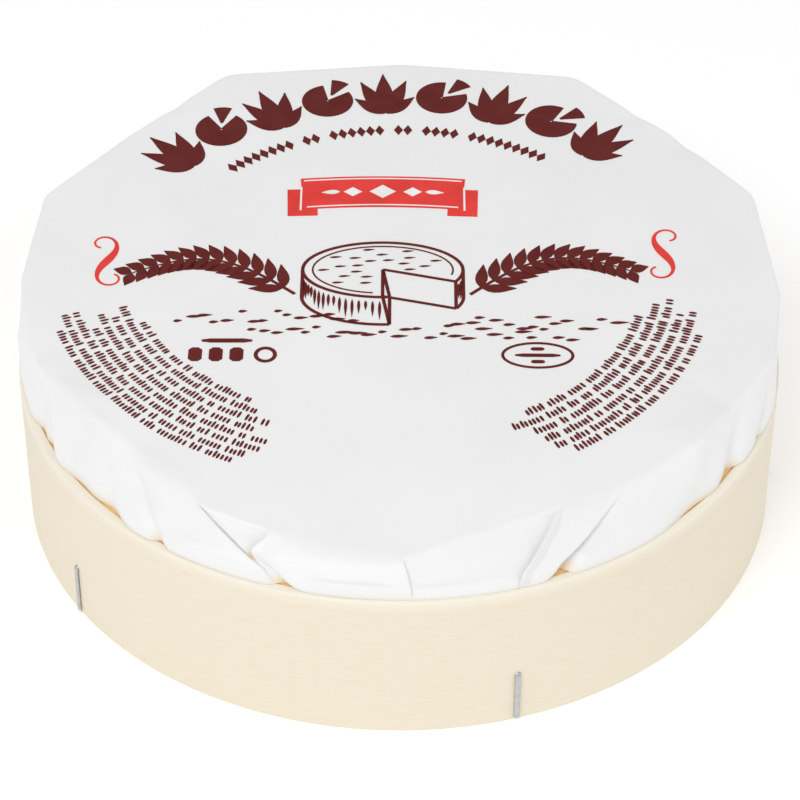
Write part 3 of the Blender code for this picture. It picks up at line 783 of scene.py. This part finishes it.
def creases(azimuth, place, length):
    """Small sharp creases of handled paper: each is a ridge that is highest on a short slanting line.

    Along the side the azimuth counts as millimetres at the rim. The height is a falling exponential of
    the distance from the line, times a bell curve along it.
    """
    crumple = np.random.default_rng(23)
    total = 0.0
    for at in np.arange(-178.0, 180.0, 3.3):
        at = at + crumple.uniform(-1.4, 1.4)
        centre, reach = crumple.uniform(0.05, 0.75), crumple.uniform(1.2, 3.6)
        slope, rise = crumple.uniform(-1.3, 1.3), crumple.uniform(-0.09, 0.12)
        across = turn(azimuth, at)
        down = (place - centre) * length
        away = np.abs(across * math.cos(slope) - down * math.sin(slope))
        along = across * math.sin(slope) + down * math.cos(slope)
        total = total + rise * np.exp(-away / 0.8 - (along / reach) ** 2)
    return total


def folded_side(azimuth, lift, place, edge, bulge):
    """Radius and height at a place down the side: along the facet, pushed out along its normal.

    The push is the pleats' lift, growing from the edge and pressed down at the rim, plus dents and creases.
    """
    across = bulge - edge
    length = np.hypot(*across)
    amount = at_place(lift, place) * smooth_step(place / PLEAT_FULL_FROM)
    amount = amount * (1.0 - PLEAT_PRESSED_AT_RIM * smooth_step((place - 0.7) / 0.3))
    here = azimuth + pleat_slant(azimuth, place)
    for at, half, height_at, reach, rise in DENTS:
        down = (place - height_at) / reach
        amount = amount + rise * np.exp(-((turn(here, at) / half) ** 2) - down**2)
    amount = amount + creases(here, place, length) * smooth_step(place / 0.1)
    normal = np.stack([-across[1], across[0]]) / length
    return edge + across * place + normal * amount


def bend(first, corner, last, share):
    """A soft bend from first to last round a corner: the quadratic curve through them."""
    return (1 - share) ** 2 * first + 2 * share * (1 - share) * corner + share**2 * last


TOP_RINGS = np.concatenate(
    [np.linspace(0.05, 0.50, 7), np.linspace(0.53, 0.90, 17), np.linspace(0.92, 1.0, 6)]
)
SHOULDER_ROWS = 8
SIDE_ROWS = 29
BULGE_ROWS = 9


def make_wrap():
    """All rings of the wrapped cheese as one array, rows from the middle of the top to the foot."""
    flat, folding, lift = column_flat, column_folding, column_lift
    at_rim = flat + pleat_slant(flat)
    edge_r = edge_radius(flat)
    edge_xyz = polar(edge_r, flat, 0.0)
    edge = np.stack([edge_r, top_height(edge_xyz[:, 0], edge_xyz[:, 1])])
    gap = sum(depth * np.exp(-((turn(at_rim, at) / half) ** 2)) for at, half, depth in RIM_GAPS)
    bulge = np.stack([BULGE_R - gap, np.full_like(flat, BULGE_Z)])
    corner = np.stack([BULGE_R - gap, np.full_like(flat, TOUCH_Z + CORNER_UP)])
    touch = np.stack([TOUCH_R - gap, np.full_like(flat, TOUCH_Z)])
    shoulder = np.interp(flat, *np.array(SHOULDERS, dtype=float).T)
    side_from = shoulder / np.hypot(*(bulge - edge))

    def row(radius, z, place, opened):
        """One ring: every column slants with the pleats and turns by its share of the opened folds."""
        places.append(np.broadcast_to(place, flat.shape))
        return polar(radius, flat + at_place(folding, place) * opened + pleat_slant(flat, place), z)

    rows, places = [], []
    for share in TOP_RINGS:
        ring = polar((edge_r - shoulder) * share, flat, 0.0)
        ring[:, 2] = top_height(ring[:, 0], ring[:, 1])
        rows.append(ring)
        places.append(np.zeros_like(flat))
    start = np.stack([edge_r - shoulder, rows[-1][:, 2]])
    side_top = folded_side(flat, lift, side_from, edge, bulge)
    for share in np.linspace(0.0, 1.0, SHOULDER_ROWS + 1)[1:]:
        radius, z = bend(start, edge, side_top, share)
        rows.append(row(radius, z, side_from * share**2, 0.3 * smooth_step(share)))
    for share in np.linspace(0.0, 1.0, SIDE_ROWS + 1)[1:]:
        place = side_from + (BULGE_FROM - side_from) * share
        radius, z = folded_side(flat, lift, place, edge, bulge)
        rows.append(row(radius, z, place, 0.3 + 0.7 * smooth_step(share / 0.25)))
    side_foot = folded_side(flat, lift, BULGE_FROM, edge, bulge)
    for share in np.linspace(0.0, 1.0, BULGE_ROWS + 1)[1:]:
        radius, z = bend(side_foot, corner, touch, share)
        opened = 1.0 - smooth_step((share - 0.7) / 0.3)
        rows.append(row(radius, z, BULGE_FROM + (1 - BULGE_FROM) * share, opened))
    lip = np.minimum(touch[0] - 0.15, TUCK_R - 0.05)
    for radius, z in ((lip, TOUCH_Z - 0.12), (TUCK_R, TOUCH_Z - 0.50), (TUCK_R, 23.1), *FOOT_PROFILE):
        rows.append(row(radius, z, 1.0, 0.0))
        places[-1] = np.full_like(flat, 2.0)
    return np.stack(rows), np.stack(places), gap


# How strong the painted amber glow is on the lip, where it lifts the contact shade, over a gap, and in the
# pocket that two front folds leave open
PAINTED_LIP_LIGHT = 0.10
PAINTED_GAP_LIGHT = 0.45
PAINTED_POCKET_LIGHT = 0.9
POCKET_FROM, POCKET_TO = -33.1, -20.6
POCKET_PLACE, POCKET_REACH = 0.70, 0.06

wrap_grid, wrap_place, wrap_gap = make_wrap()
wrap_rows, wrap_count = wrap_grid.shape[:2]
wrap_middle = wrap_rows * wrap_count
wrap_points = np.concatenate([wrap_grid.reshape(-1, 3), [[0.0, 0.0, float(top_height(0.0, 0.0))]]])
wrap_points = np.concatenate([wrap_points, [[0.0, 0.0, FOOT_PROFILE[-1][1]]]])
ring_index = np.arange(wrap_count)
ring_after = (ring_index + 1) % wrap_count
last_ring = (wrap_rows - 1) * wrap_count
cap = np.stack([np.full(wrap_count, wrap_middle), ring_index, ring_after], axis=1)
foot_corners = [np.full(wrap_count, wrap_middle + 1), last_ring + ring_after, last_ring + ring_index]
foot = np.stack(foot_corners, axis=1)
wrap_faces = grid_quads(wrap_rows, wrap_count, round_columns=True).tolist() + cap.tolist() + foot.tolist()
wrap = mesh_piece("paper_wrap", wrap_points, wrap_faces, paper, 60.0)
# Painted amber glow: a little on the lip, more over the gaps, in the front pocket, and full on the paper
# tucked inside the hoop
lip = smooth_step((wrap_place - 0.90) / 0.10)
lip_and_gap_glow = PAINTED_LIP_LIGHT * lip**2 + PAINTED_GAP_LIGHT * smooth_step((wrap_gap - 0.3) / 0.7)[None, :] * lip
in_pocket = smooth_step((column_flat - POCKET_FROM) / 0.3) * smooth_step((POCKET_TO - column_flat) / 0.3)
pocket_depth = np.exp(-(((wrap_place - POCKET_PLACE) / POCKET_REACH) ** 2))
pocket = PAINTED_POCKET_LIGHT * in_pocket[None, :] * pocket_depth
amber = np.maximum(np.where(wrap_place > 1.5, 1.0, lip_and_gap_glow), pocket)
point_values(wrap, "folded", [*smooth_step(wrap_place / 0.3).ravel(), 0.0, 1.0])
point_values(wrap, "painted_glow", [*amber.ravel(), 0.0, 1.0])
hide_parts("wrapped_cheese")

# %% [markdown]
# The print is ink on the flat top, in fields of colour and simple shapes. Every mark is a stroke: a
# centre line with a half width at each point, as a pen nib would draw it. A leaf, a bar, a lozenge, a
# ring and a wheel with a wedge cut out are all strokes with other lines and widths. Each one becomes a
# thin closed slab that follows the paper's own height, so the ink lies on every swell.

# %% Stroke helpers
INK_ABOVE = 0.035
INK_BELOW = 0.05
INK_LAYER = 0.006


def stroke(line, half, across=3):
    """A grid of plan points: each point of the line, moved sideways from minus to plus its half width.

    The line has the shape (strokes, points, 2) and the half width the shape (strokes, points).
    """
    along = np.gradient(line, axis=1)
    along /= np.linalg.norm(along, axis=2, keepdims=True)
    sideways = np.stack([-along[..., 1], along[..., 0]], axis=-1)
    offset = np.linspace(-1.0, 1.0, across)
    return line[:, :, None, :] + sideways[:, :, None, :] * (half[:, :, None] * offset)[..., None]


def straight(start, end, points):
    """Straight lines from rows of start points to rows of end points."""
    share = np.linspace(0.0, 1.0, points)[None, :, None]
    start, end = np.atleast_2d(start).astype(float), np.atleast_2d(end).astype(float)
    return start[:, None, :] * (1.0 - share) + end[:, None, :] * share


def arc(centre, radius, first, last, points):
    """Arcs about a plan centre from azimuth first to last, each given in degrees as a row."""
    share = np.linspace(0.0, 1.0, points)[None, :]
    azimuth = np.atleast_1d(first)[:, None] * (1.0 - share) + np.atleast_1d(last)[:, None] * share
    return polar(np.atleast_1d(radius)[:, None], azimuth, 0.0)[..., :2] + np.asarray(centre, dtype=float)


def widths(kind, half, strokes, points):
    """Half widths along a stroke: a bar with eased ends, a lozenge, or a leaf that is fullest early."""
    share = np.linspace(0.0, 1.0, points)
    shapes = {
        "bar": np.clip(np.minimum(share, 1.0 - share) * points * 1.2, 0.45, 1.0),
        "lozenge": np.clip(1.0 - np.abs(share * 2.0 - 1.0), 0.03, 1.0),
        "leaf": np.clip(np.sin(np.pi * share**0.75), 0.06, 1.0),
    }
    return np.broadcast_to(shapes[kind] * half, (strokes, points))


def marks(kind, half, start, end, points=7):
    """Straight strokes of one kind from rows of start points to rows of end points."""
    lines = straight(start, end, points)
    return stroke(lines, widths(kind, half, len(lines), points))


def even_stroke(line, half, across=3):
    """A stroke of one width along every line."""
    return stroke(line, np.full(line.shape[:2], half), across)


def slab_faces(points, across):
    """Faces of one slab: the upper sheet, the lower sheet turned over, and a wall round the border."""
    upper = grid_quads(points, across)
    lower = upper[:, ::-1] + points * across
    index = np.arange(points * across).reshape(points, across)
    border = np.concatenate([index[:-1, 0], index[-1, :-1], index[:0:-1, -1], index[0, :0:-1]])
    after = np.roll(border, -1)
    wall = np.stack([border, border + points * across, after + points * across, after], axis=1)
    return np.concatenate([upper, lower, wall])


def ink_piece(name, families, material, raised=0.0):
    """One piece from families of strokes; all strokes of a family have the same grid.

    Neighbouring families lie a few thousandths of a millimetre apart, so that crossing strokes don't
    share one surface.
    """
    parts, faces, used = [], [], 0
    for number, grid in enumerate(families):
        strokes, points, across = grid.shape[:3]
        plan = grid.reshape(strokes, -1, 2)
        paper_z = top_height(plan[..., 0], plan[..., 1]) + INK_LAYER * (number % 5)
        upper = np.concatenate([plan, (paper_z + INK_ABOVE + raised)[..., None]], axis=-1)
        lower = np.concatenate([plan, (paper_z - INK_BELOW)[..., None]], axis=-1)
        parts.append(np.concatenate([upper, lower], axis=1).reshape(-1, 3))
        size = 2 * points * across
        starts = used + np.arange(strokes) * size
        faces.append((slab_faces(points, across)[None] + starts[:, None, None]).reshape(-1, 4))
        used += strokes * size
    parts, faces = np.concatenate(parts), np.concatenate(faces).tolist()
    return mesh_piece(name, parts, faces, material, 30.0)


print("ink lies", INK_ABOVE, "mm above the paper, families", INK_LAYER, "mm apart")


# %% [markdown]
# The bold row at the back of the top is an arc of nine marks: fans of five leaves, and between them
# cheese wheels with a wedge drawn out. A row of small beads runs under it.

# %% Bold arc
ARC_CENTRE = (0.0, -1.7)
ROW_RADIUS = 49.4
row_azimuth = 183.0 - (np.arange(9) - 4.0) * 10.75
row_out = polar(1.0, row_azimuth, 0.0)[:, :2]
row_place = np.array(ARC_CENTRE) + row_out * ROW_RADIUS
WHEEL_R = 4.15
wheels, wedges = [], []
for place, facing in zip(row_place[1::2] - row_out[1::2] * 0.4, row_azimuth[1::2] - 35.0):
    wheels.append(arc(place, WHEEL_R * 0.51, facing + 30.0, facing + 330.0, 33))
    tip = place + polar(1.5, facing, 0.0)[:2]
    wedges.append(arc(tip, WHEEL_R * 0.51, facing - 23.0, facing + 23.0, 7))
wheels, wedges = np.concatenate(wheels), np.concatenate(wedges)
wheel_ink = even_stroke(wheels, WHEEL_R * 0.48, 4)
wedge_ink = even_stroke(wedges, WHEEL_R * 0.48, 4)

fan_turn = np.array([0.0, -23.0, 23.0, -48.0, 48.0])
fan_length = np.array([10.6, 9.4, 9.4, 6.4, 6.4])
fan_half = np.array([1.5, 1.35, 1.35, 1.2, 1.2])
palm_azimuth, palm_place = row_azimuth[0::2], row_place[0::2]
palm_foot = palm_place - row_out[0::2] * 5.2
leaf_way = polar(1.0, palm_azimuth[:, None] + fan_turn[None, :], 0.0)[..., :2]
leaf_from = palm_foot[:, None] + leaf_way * 0.3
leaf_to = palm_foot[:, None] + leaf_way * fan_length[None, :, None]
palm_ink = [
    marks("leaf", half, leaf_from[:, leaf], leaf_to[:, leaf], 11) for leaf, half in enumerate(fan_half)
]

beads = np.arange(36)
bead_azimuth = 220.5 - beads * 2.11
bead_azimuth = bead_azimuth[~np.isin(beads, (8, 11, 18, 21, 26))]
bead_out = polar(1.0, bead_azimuth, 0.0)[:, :2]
bead_place = np.array(ARC_CENTRE) + bead_out * 40.1
bead_ink = marks("lozenge", 0.72, bead_place - bead_out * 1.25, bead_place + bead_out * 1.25)
print("bold arc:", len(palm_place), "fans,", len(wheels), "wheels,", len(bead_place), "beads")

# %% [markdown]
# In the middle a wheel of cheese is drawn in plain line, between two leafy sprays, over a few rows of
# short ground strokes. A spray is one curved stem with leaves set along it on both sides.

# %% Sprays, wheel and ground
def spray(root, tip, rise, pairs, leaf_length, leaf_half):
    """A stem that bows by `rise` between root and tip, and pairs of leaves that lean to the tip."""
    root, tip = np.array(root), np.array(tip)
    share = np.linspace(0.0, 1.0, 25)
    lift = np.array([0.0, rise]) * np.sin(np.pi * share)[:, None]
    stem = root + (tip - root) * share[:, None] + lift
    at = np.linspace(0.06, 0.97, pairs)
    foot = np.column_stack([np.interp(at, share, stem[:, axis]) for axis in (0, 1)])
    ahead = np.gradient(stem, axis=0)
    heading = np.arctan2(np.interp(at, share, ahead[:, 1]), np.interp(at, share, ahead[:, 0]))
    size = leaf_length * (1.0 - 0.45 * at)
    heading = np.concatenate([heading + 0.72, heading - 0.72])
    direction = np.stack([np.cos(heading), np.sin(heading)], axis=1)
    foot, size = np.concatenate([foot, foot]), np.concatenate([size, size])[:, None]
    stem_half = np.linspace(0.28, 0.12, 25)[None]
    leaves = marks("leaf", leaf_half, foot + direction * 0.35, foot + direction * size)
    return [stroke(stem[None], stem_half), leaves]


def oval(centre, wide, deep, first, last, points):
    """Part of an oval line: x = centre + wide cos t, y = centre + deep sin t, t in degrees."""
    t = np.radians(np.linspace(first, last, points))
    return np.stack([centre[0] + wide * np.cos(t), centre[1] + deep * np.sin(t)], axis=-1)[None]


WHEEL_MIDDLE = (-2.5, 4.5)
WHEEL_WIDE, WHEEL_DEEP, WHEEL_TALL = 12.0, 6.2, 6.0
CUT_FRONT, CUT_SIDE = 275.0, 335.0
DRAWN_HALF = 0.26


def wheel_line(first, last, points=61, inset=(0.0, 0.0), below=0.0):
    """Part of the drawn wheel's rim, set in by some millimetres across and deep, and let down."""
    centre = (WHEEL_MIDDLE[0], WHEEL_MIDDLE[1] - below)
    return oval(centre, WHEEL_WIDE - inset[0], WHEEL_DEEP - inset[1], first, last, points)


rims = (
    wheel_line(CUT_SIDE - 360.0, CUT_FRONT), wheel_line(180.0, CUT_FRONT, below=WHEEL_TALL),
    wheel_line(CUT_SIDE, 360.0, below=WHEEL_TALL),
)
tip = np.array(WHEEL_MIDDLE)
front, side, left, right = (wheel_line(at, at, 1)[0, 0] for at in (CUT_FRONT, CUT_SIDE, 180.0, 0.0))
drop = np.array([0.0, -WHEEL_TALL])
wheel_edges = np.array([
    (tip, front), (tip, side), (tip, tip + drop), (front, front + drop), (side, side + drop),
    (left, left + drop), (right, right + drop), (tip + drop, front + drop), (tip + drop, side + drop),
])
hatch_t = np.radians(np.concatenate([np.arange(188.0, 272.0, 5.0), np.arange(340.0, 358.0, 5.0)]))
hatch_top = np.stack([WHEEL_WIDE * np.cos(hatch_t), WHEEL_DEEP * np.sin(hatch_t)], axis=1) + tip - (0.0, 0.9)
hatch_long = (WHEEL_TALL - 1.8) * (0.45 + 0.55 * np.abs(np.sin(hatch_t * 7.0)))
hatch_low = hatch_top - (0.0, 1.0) * hatch_long[:, None]
rind_t = np.radians(np.arange(0.0, 250.0, 13.0))
rind_share = 0.34 + 0.40 * (np.arange(len(rind_t)) % 3) / 2.0
rind = np.stack([WHEEL_WIDE * np.cos(rind_t), WHEEL_DEEP * np.sin(rind_t)], axis=1) * rind_share[:, None]
rind_from = rind + tip - (0.9, 0.0)
drawn_ink = [even_stroke(line, DRAWN_HALF) for line in rims]
drawn_ink.append(even_stroke(straight(wheel_edges[:, 0], wheel_edges[:, 1], 7), DRAWN_HALF))
drawn_ink.append(marks("leaf", 0.24, hatch_top, hatch_low))
drawn_ink.append(even_stroke(wheel_line(-12.0, 262.0, inset=(1.5, 0.9)), DRAWN_HALF / 2))
drawn_ink.append(marks("leaf", 0.20, rind_from, rind_from + (1.8, 0.15)))

spray_ink = spray((-15.5, -1.0), (-40.5, 3.5), 5.5, 13, 5.6, 0.95)
spray_ink += spray((10.5, -1.0), (35.0, 4.5), 5.5, 13, 5.6, 0.95)

# Rows of ground strokes: first x, last x, how many, and y
GROUND_ROWS = ((-33.0, -8.0, 15, -6.0), (-22.0, 24.0, 26, -9.6), (6.0, 31.0, 15, -7.2))
rng = np.random.default_rng(11)
ground_x = np.concatenate([np.linspace(first, last, count) for first, last, count, _ in GROUND_ROWS])
ground_y = np.concatenate([np.full(count, y) for _, _, count, y in GROUND_ROWS])
ground_count = len(ground_x)
ground_y = ground_y + rng.uniform(-1.3, 1.3, ground_count)
ground_from = np.stack([ground_x + rng.uniform(-0.5, 0.5, ground_count), ground_y], axis=1)
ground_way = np.stack([rng.uniform(1.2, 3.0, ground_count), np.full(ground_count, 0.15)], axis=1)
ground_ink = marks("leaf", 0.30, ground_from, ground_from + ground_way)
print("drawn wheel:", len(wheel_edges), "edges,", len(hatch_t), "hatches; ground:", ground_count, "strokes")

# %% [markdown]
# Two blocks of short upright ticks stand on arcs at the front, in uneven groups. Between them lie an oval
# with three dashes in it, and a few bars with a small ring. The groups come from a seeded generator, so
# that every run draws the same rows.

# %% Ticks, oval and bars
TICK_PITCH = 0.62


def tick_rows(centre, rows, tall, half):
    """Upright ticks on arcs about a centre; each row is (radius, first azimuth, last azimuth).

    Groups of two to nine ticks have one place left free after them, and one tick in four is taller.
    """
    feet, heads = [], []
    for radius, first, last in rows:
        pitch = math.degrees(TICK_PITCH / radius)
        azimuth = np.arange(first, last, pitch)
        free = np.cumsum(rng.integers(3, 11, 40)) - 1
        azimuth = azimuth[~np.isin(np.arange(len(azimuth)), free)]
        azimuth = azimuth + rng.uniform(-0.12, 0.12, len(azimuth)) * pitch
        rise = tall * np.where(rng.random(len(azimuth)) < 0.25, 0.78, 0.5)
        feet.append(polar(radius + tall * 0.5, azimuth, 0.0)[:, :2])
        heads.append(polar(radius - rise, azimuth, 0.0)[:, :2])
    feet, heads = np.concatenate(feet) + centre, np.concatenate(heads) + centre
    return marks("bar", half, feet, heads, 5)


LEFT_ROWS = (
    (35.2, -64, -24), (36.9, -71, -22), (38.6, -68, -19), (40.3, -70, -20), (42.0, -66, -17),
    (43.7, -72, -18), (45.4, -72, -19), (47.0, -68, -21),
)
RIGHT_ROWS = ((33.7, 27, 74), (35.6, 22, 79), (37.5, 26, 81), (39.4, 27, 77), (41.2, 28, 79), (43.0, 31, 72))
small_ink = [tick_rows((-6.0, 8.0), LEFT_ROWS, 1.05, 0.20), tick_rows((3.0, 4.0), RIGHT_ROWS, 1.15, 0.21)]

OVAL_MIDDLE = (20.1, -14.1)
small_ink.append(even_stroke(oval(OVAL_MIDDLE, 5.1, 2.6, 0.0, 360.0, 49), 0.22))
dash_from = np.array([(-1.0, 1.35), (-3.3, 0.0), (-1.0, -1.35)]) + OVAL_MIDDLE
dash_to = np.array([(1.0, 1.35), (3.3, 0.0), (1.0, -1.35)]) + OVAL_MIDDLE
small_ink.append(marks("bar", 0.34, dash_from, dash_to))

bar_from = np.array([(-28.8, -11.2), (-29.6, -15.6), (-26.6, -15.6), (-23.6, -15.6)])
bar_to = np.array([(-21.4, -11.2), (-29.6, -12.7), (-26.6, -12.7), (-23.6, -12.7)])
small_ink.append(marks("bar", np.array([[0.42], [1.0], [1.0], [1.0]]), bar_from, bar_to))
small_ink.append(even_stroke(oval((-19.4, -14.2), 1.4, 1.4, 0.0, 360.0, 25), 0.3))

maroon_families = [*palm_ink, wheel_ink, wedge_ink, bead_ink, *drawn_ink, *spray_ink, ground_ink, *small_ink]
ink_piece("maroon_print", maroon_families, maroon_ink)

# %% [markdown]
# The red field under the arc is a short ribbon: a bar that bows a little with the arc, and two tails
# that hang lower behind its ends. Thin white lines part them, and white lozenges stand on the bar. A
# small red double scroll stands at each side of the top. Its curve bends faster the further it runs.

# %% Ribbon and scrolls
RIBBON_MIDDLE = (-2.65, 22.6)
RIBBON_LONG, RIBBON_HALF = 12.4, 3.75
TAIL_OUT, TAIL_HALF, TAIL_DROP = 4.6, 3.2, 2.3
SCROLL_BEND = 0.092
SCROLL_HEADING = math.radians(58.0)


def ribbon_line(long):
    """The bowed middle line of the bar: 0.6 mm lower at the ends than in the middle."""
    share = np.linspace(-1.0, 1.0, 41)
    x, y = RIBBON_MIDDLE[0] + share * long, RIBBON_MIDDLE[1] + 0.3 - 0.6 * share**2
    return np.stack([x, y], axis=-1)[None]


def scroll(centre, side):
    """A double scroll: the bend grows evenly with the way from the middle, so both ends curl in.

    The heading is the bend rate times the way squared over two, and the points are its running sum.
    """
    way = np.linspace(-10.5, 10.5, 121)
    heading = SCROLL_BEND * way**2 / 2.0 + SCROLL_HEADING
    step = np.stack([np.cos(heading), np.sin(heading)], axis=1) * (way[1] - way[0])
    line = np.cumsum(step, axis=0)
    line = (line - line[60]) * (side, 1.0) + centre
    half = 0.16 + 0.52 * np.exp(-((way / 3.4) ** 2))
    return stroke(line[None], half[None])


def beside(out, up):
    """Two points at the ribbon's left and right: so far out from its middle, and so far up."""
    return np.array([(-out, up), (out, up)]) + RIBBON_MIDDLE


bar_ink = even_stroke(ribbon_line(RIBBON_LONG), RIBBON_HALF, 7)
tail_root = beside(RIBBON_LONG - 2.4, -TAIL_DROP)
tail_tip = beside(RIBBON_LONG - 2.4 + TAIL_OUT, -TAIL_DROP - 0.15)
tail_ink = even_stroke(straight(tail_root, tail_tip, 9), TAIL_HALF, 7)

inner = even_stroke(ribbon_line(RIBBON_LONG - 0.5), RIBBON_HALF - 0.55)[0]
frame_ink = even_stroke(np.stack([inner[:, 0], inner[:, 2]]), 0.13)
part_from, part_to = beside(RIBBON_LONG + 0.15, 1.3), beside(RIBBON_LONG + 0.15, -RIBBON_HALF - 0.5)
part_ink = even_stroke(straight(part_from, part_to, 7), 0.15)
white_out = np.array([-4.6, 0.0, 4.6])
white_half = np.array([1.4, 2.0, 1.4])
white_up = 0.3 - 0.6 * (white_out / RIBBON_LONG) ** 2
white_from = np.stack([white_out - white_half, white_up], axis=1) + RIBBON_MIDDLE
white_to = np.stack([white_out + white_half, white_up], axis=1) + RIBBON_MIDDLE
white_lozenges = marks("lozenge", np.array([[1.1], [1.6], [1.1]]), white_from, white_to, 9)
white_leaves = marks("leaf", 0.5, beside(6.6, white_up[0]), beside(9.4, white_up[0] - 0.2))
red_families = [tail_ink, bar_ink, scroll((-43.9, 6.6), 1.0), scroll((39.7, 8.8), -1.0)]
ink_piece("red_print", red_families, red_ink)
ink_piece("white_print", [frame_ink, part_ink, white_lozenges, white_leaves], white_ink, 0.03)

# %% [markdown]
# The floor is a wide pale sheet, and the light is a soft tent: an even white world, and two lamps, a
# strong one high at the front left and a weaker, broader one at the right.

# %% Floor and light
def make_floor(half_width):
    """A flat square under the pack, a hair below it so that the two don't fight."""
    mesh = bpy.data.meshes.new("floor")
    corners = np.array([(-1, -1), (1, -1), (1, 1), (-1, 1)]) * half_width
    mesh.from_pydata([(x, y, -0.00002) for x, y in corners], [], [(0, 1, 2, 3)])
    floor = place_object("floor", mesh)
    material, _, shader = new_material("pale_floor", (0.95, 0.95, 0.95, 1.0), 0.9, specular=0.1)
    shader.inputs["Emission Color"].default_value = (1.0, 1.0, 1.0, 1.0)
    shader.inputs["Emission Strength"].default_value = 0.17
    mesh.materials.append(material)


def make_lamp(name, place, size, power):
    """A square area lamp that faces the middle of the pack."""
    data = bpy.data.lights.new(name, "AREA")
    data.size = size
    data.energy = power
    lamp = place_object(name, data)
    aim = np.array([0.0, 0.0, 0.02]) - np.array(place)
    back = -aim / np.linalg.norm(aim)
    side = np.cross([0.0, 0.0, 1.0], back)
    side /= np.linalg.norm(side)
    lamp.matrix_world = Matrix(np.column_stack([side, np.cross(back, side), back]).tolist()).to_4x4()
    lamp.location = place


make_floor(3.0)
make_lamp("key_lamp", (-0.22, -0.40, 0.60), 0.34, 1.60)
make_lamp("fill_lamp", (0.85, -0.45, 0.7), 0.8, 1.5)

world = bpy.data.worlds.new("studio")
bpy.context.scene.world = world
world.use_nodes = True
background = world.node_tree.nodes["Background"]
background.inputs["Color"].default_value = (1.0, 1.0, 1.0, 1.0)
background.inputs["Strength"].default_value = 0.66
bpy.context.scene.view_settings.view_transform = "Standard"
print("lamps:", sorted(light.name for light in bpy.data.lights))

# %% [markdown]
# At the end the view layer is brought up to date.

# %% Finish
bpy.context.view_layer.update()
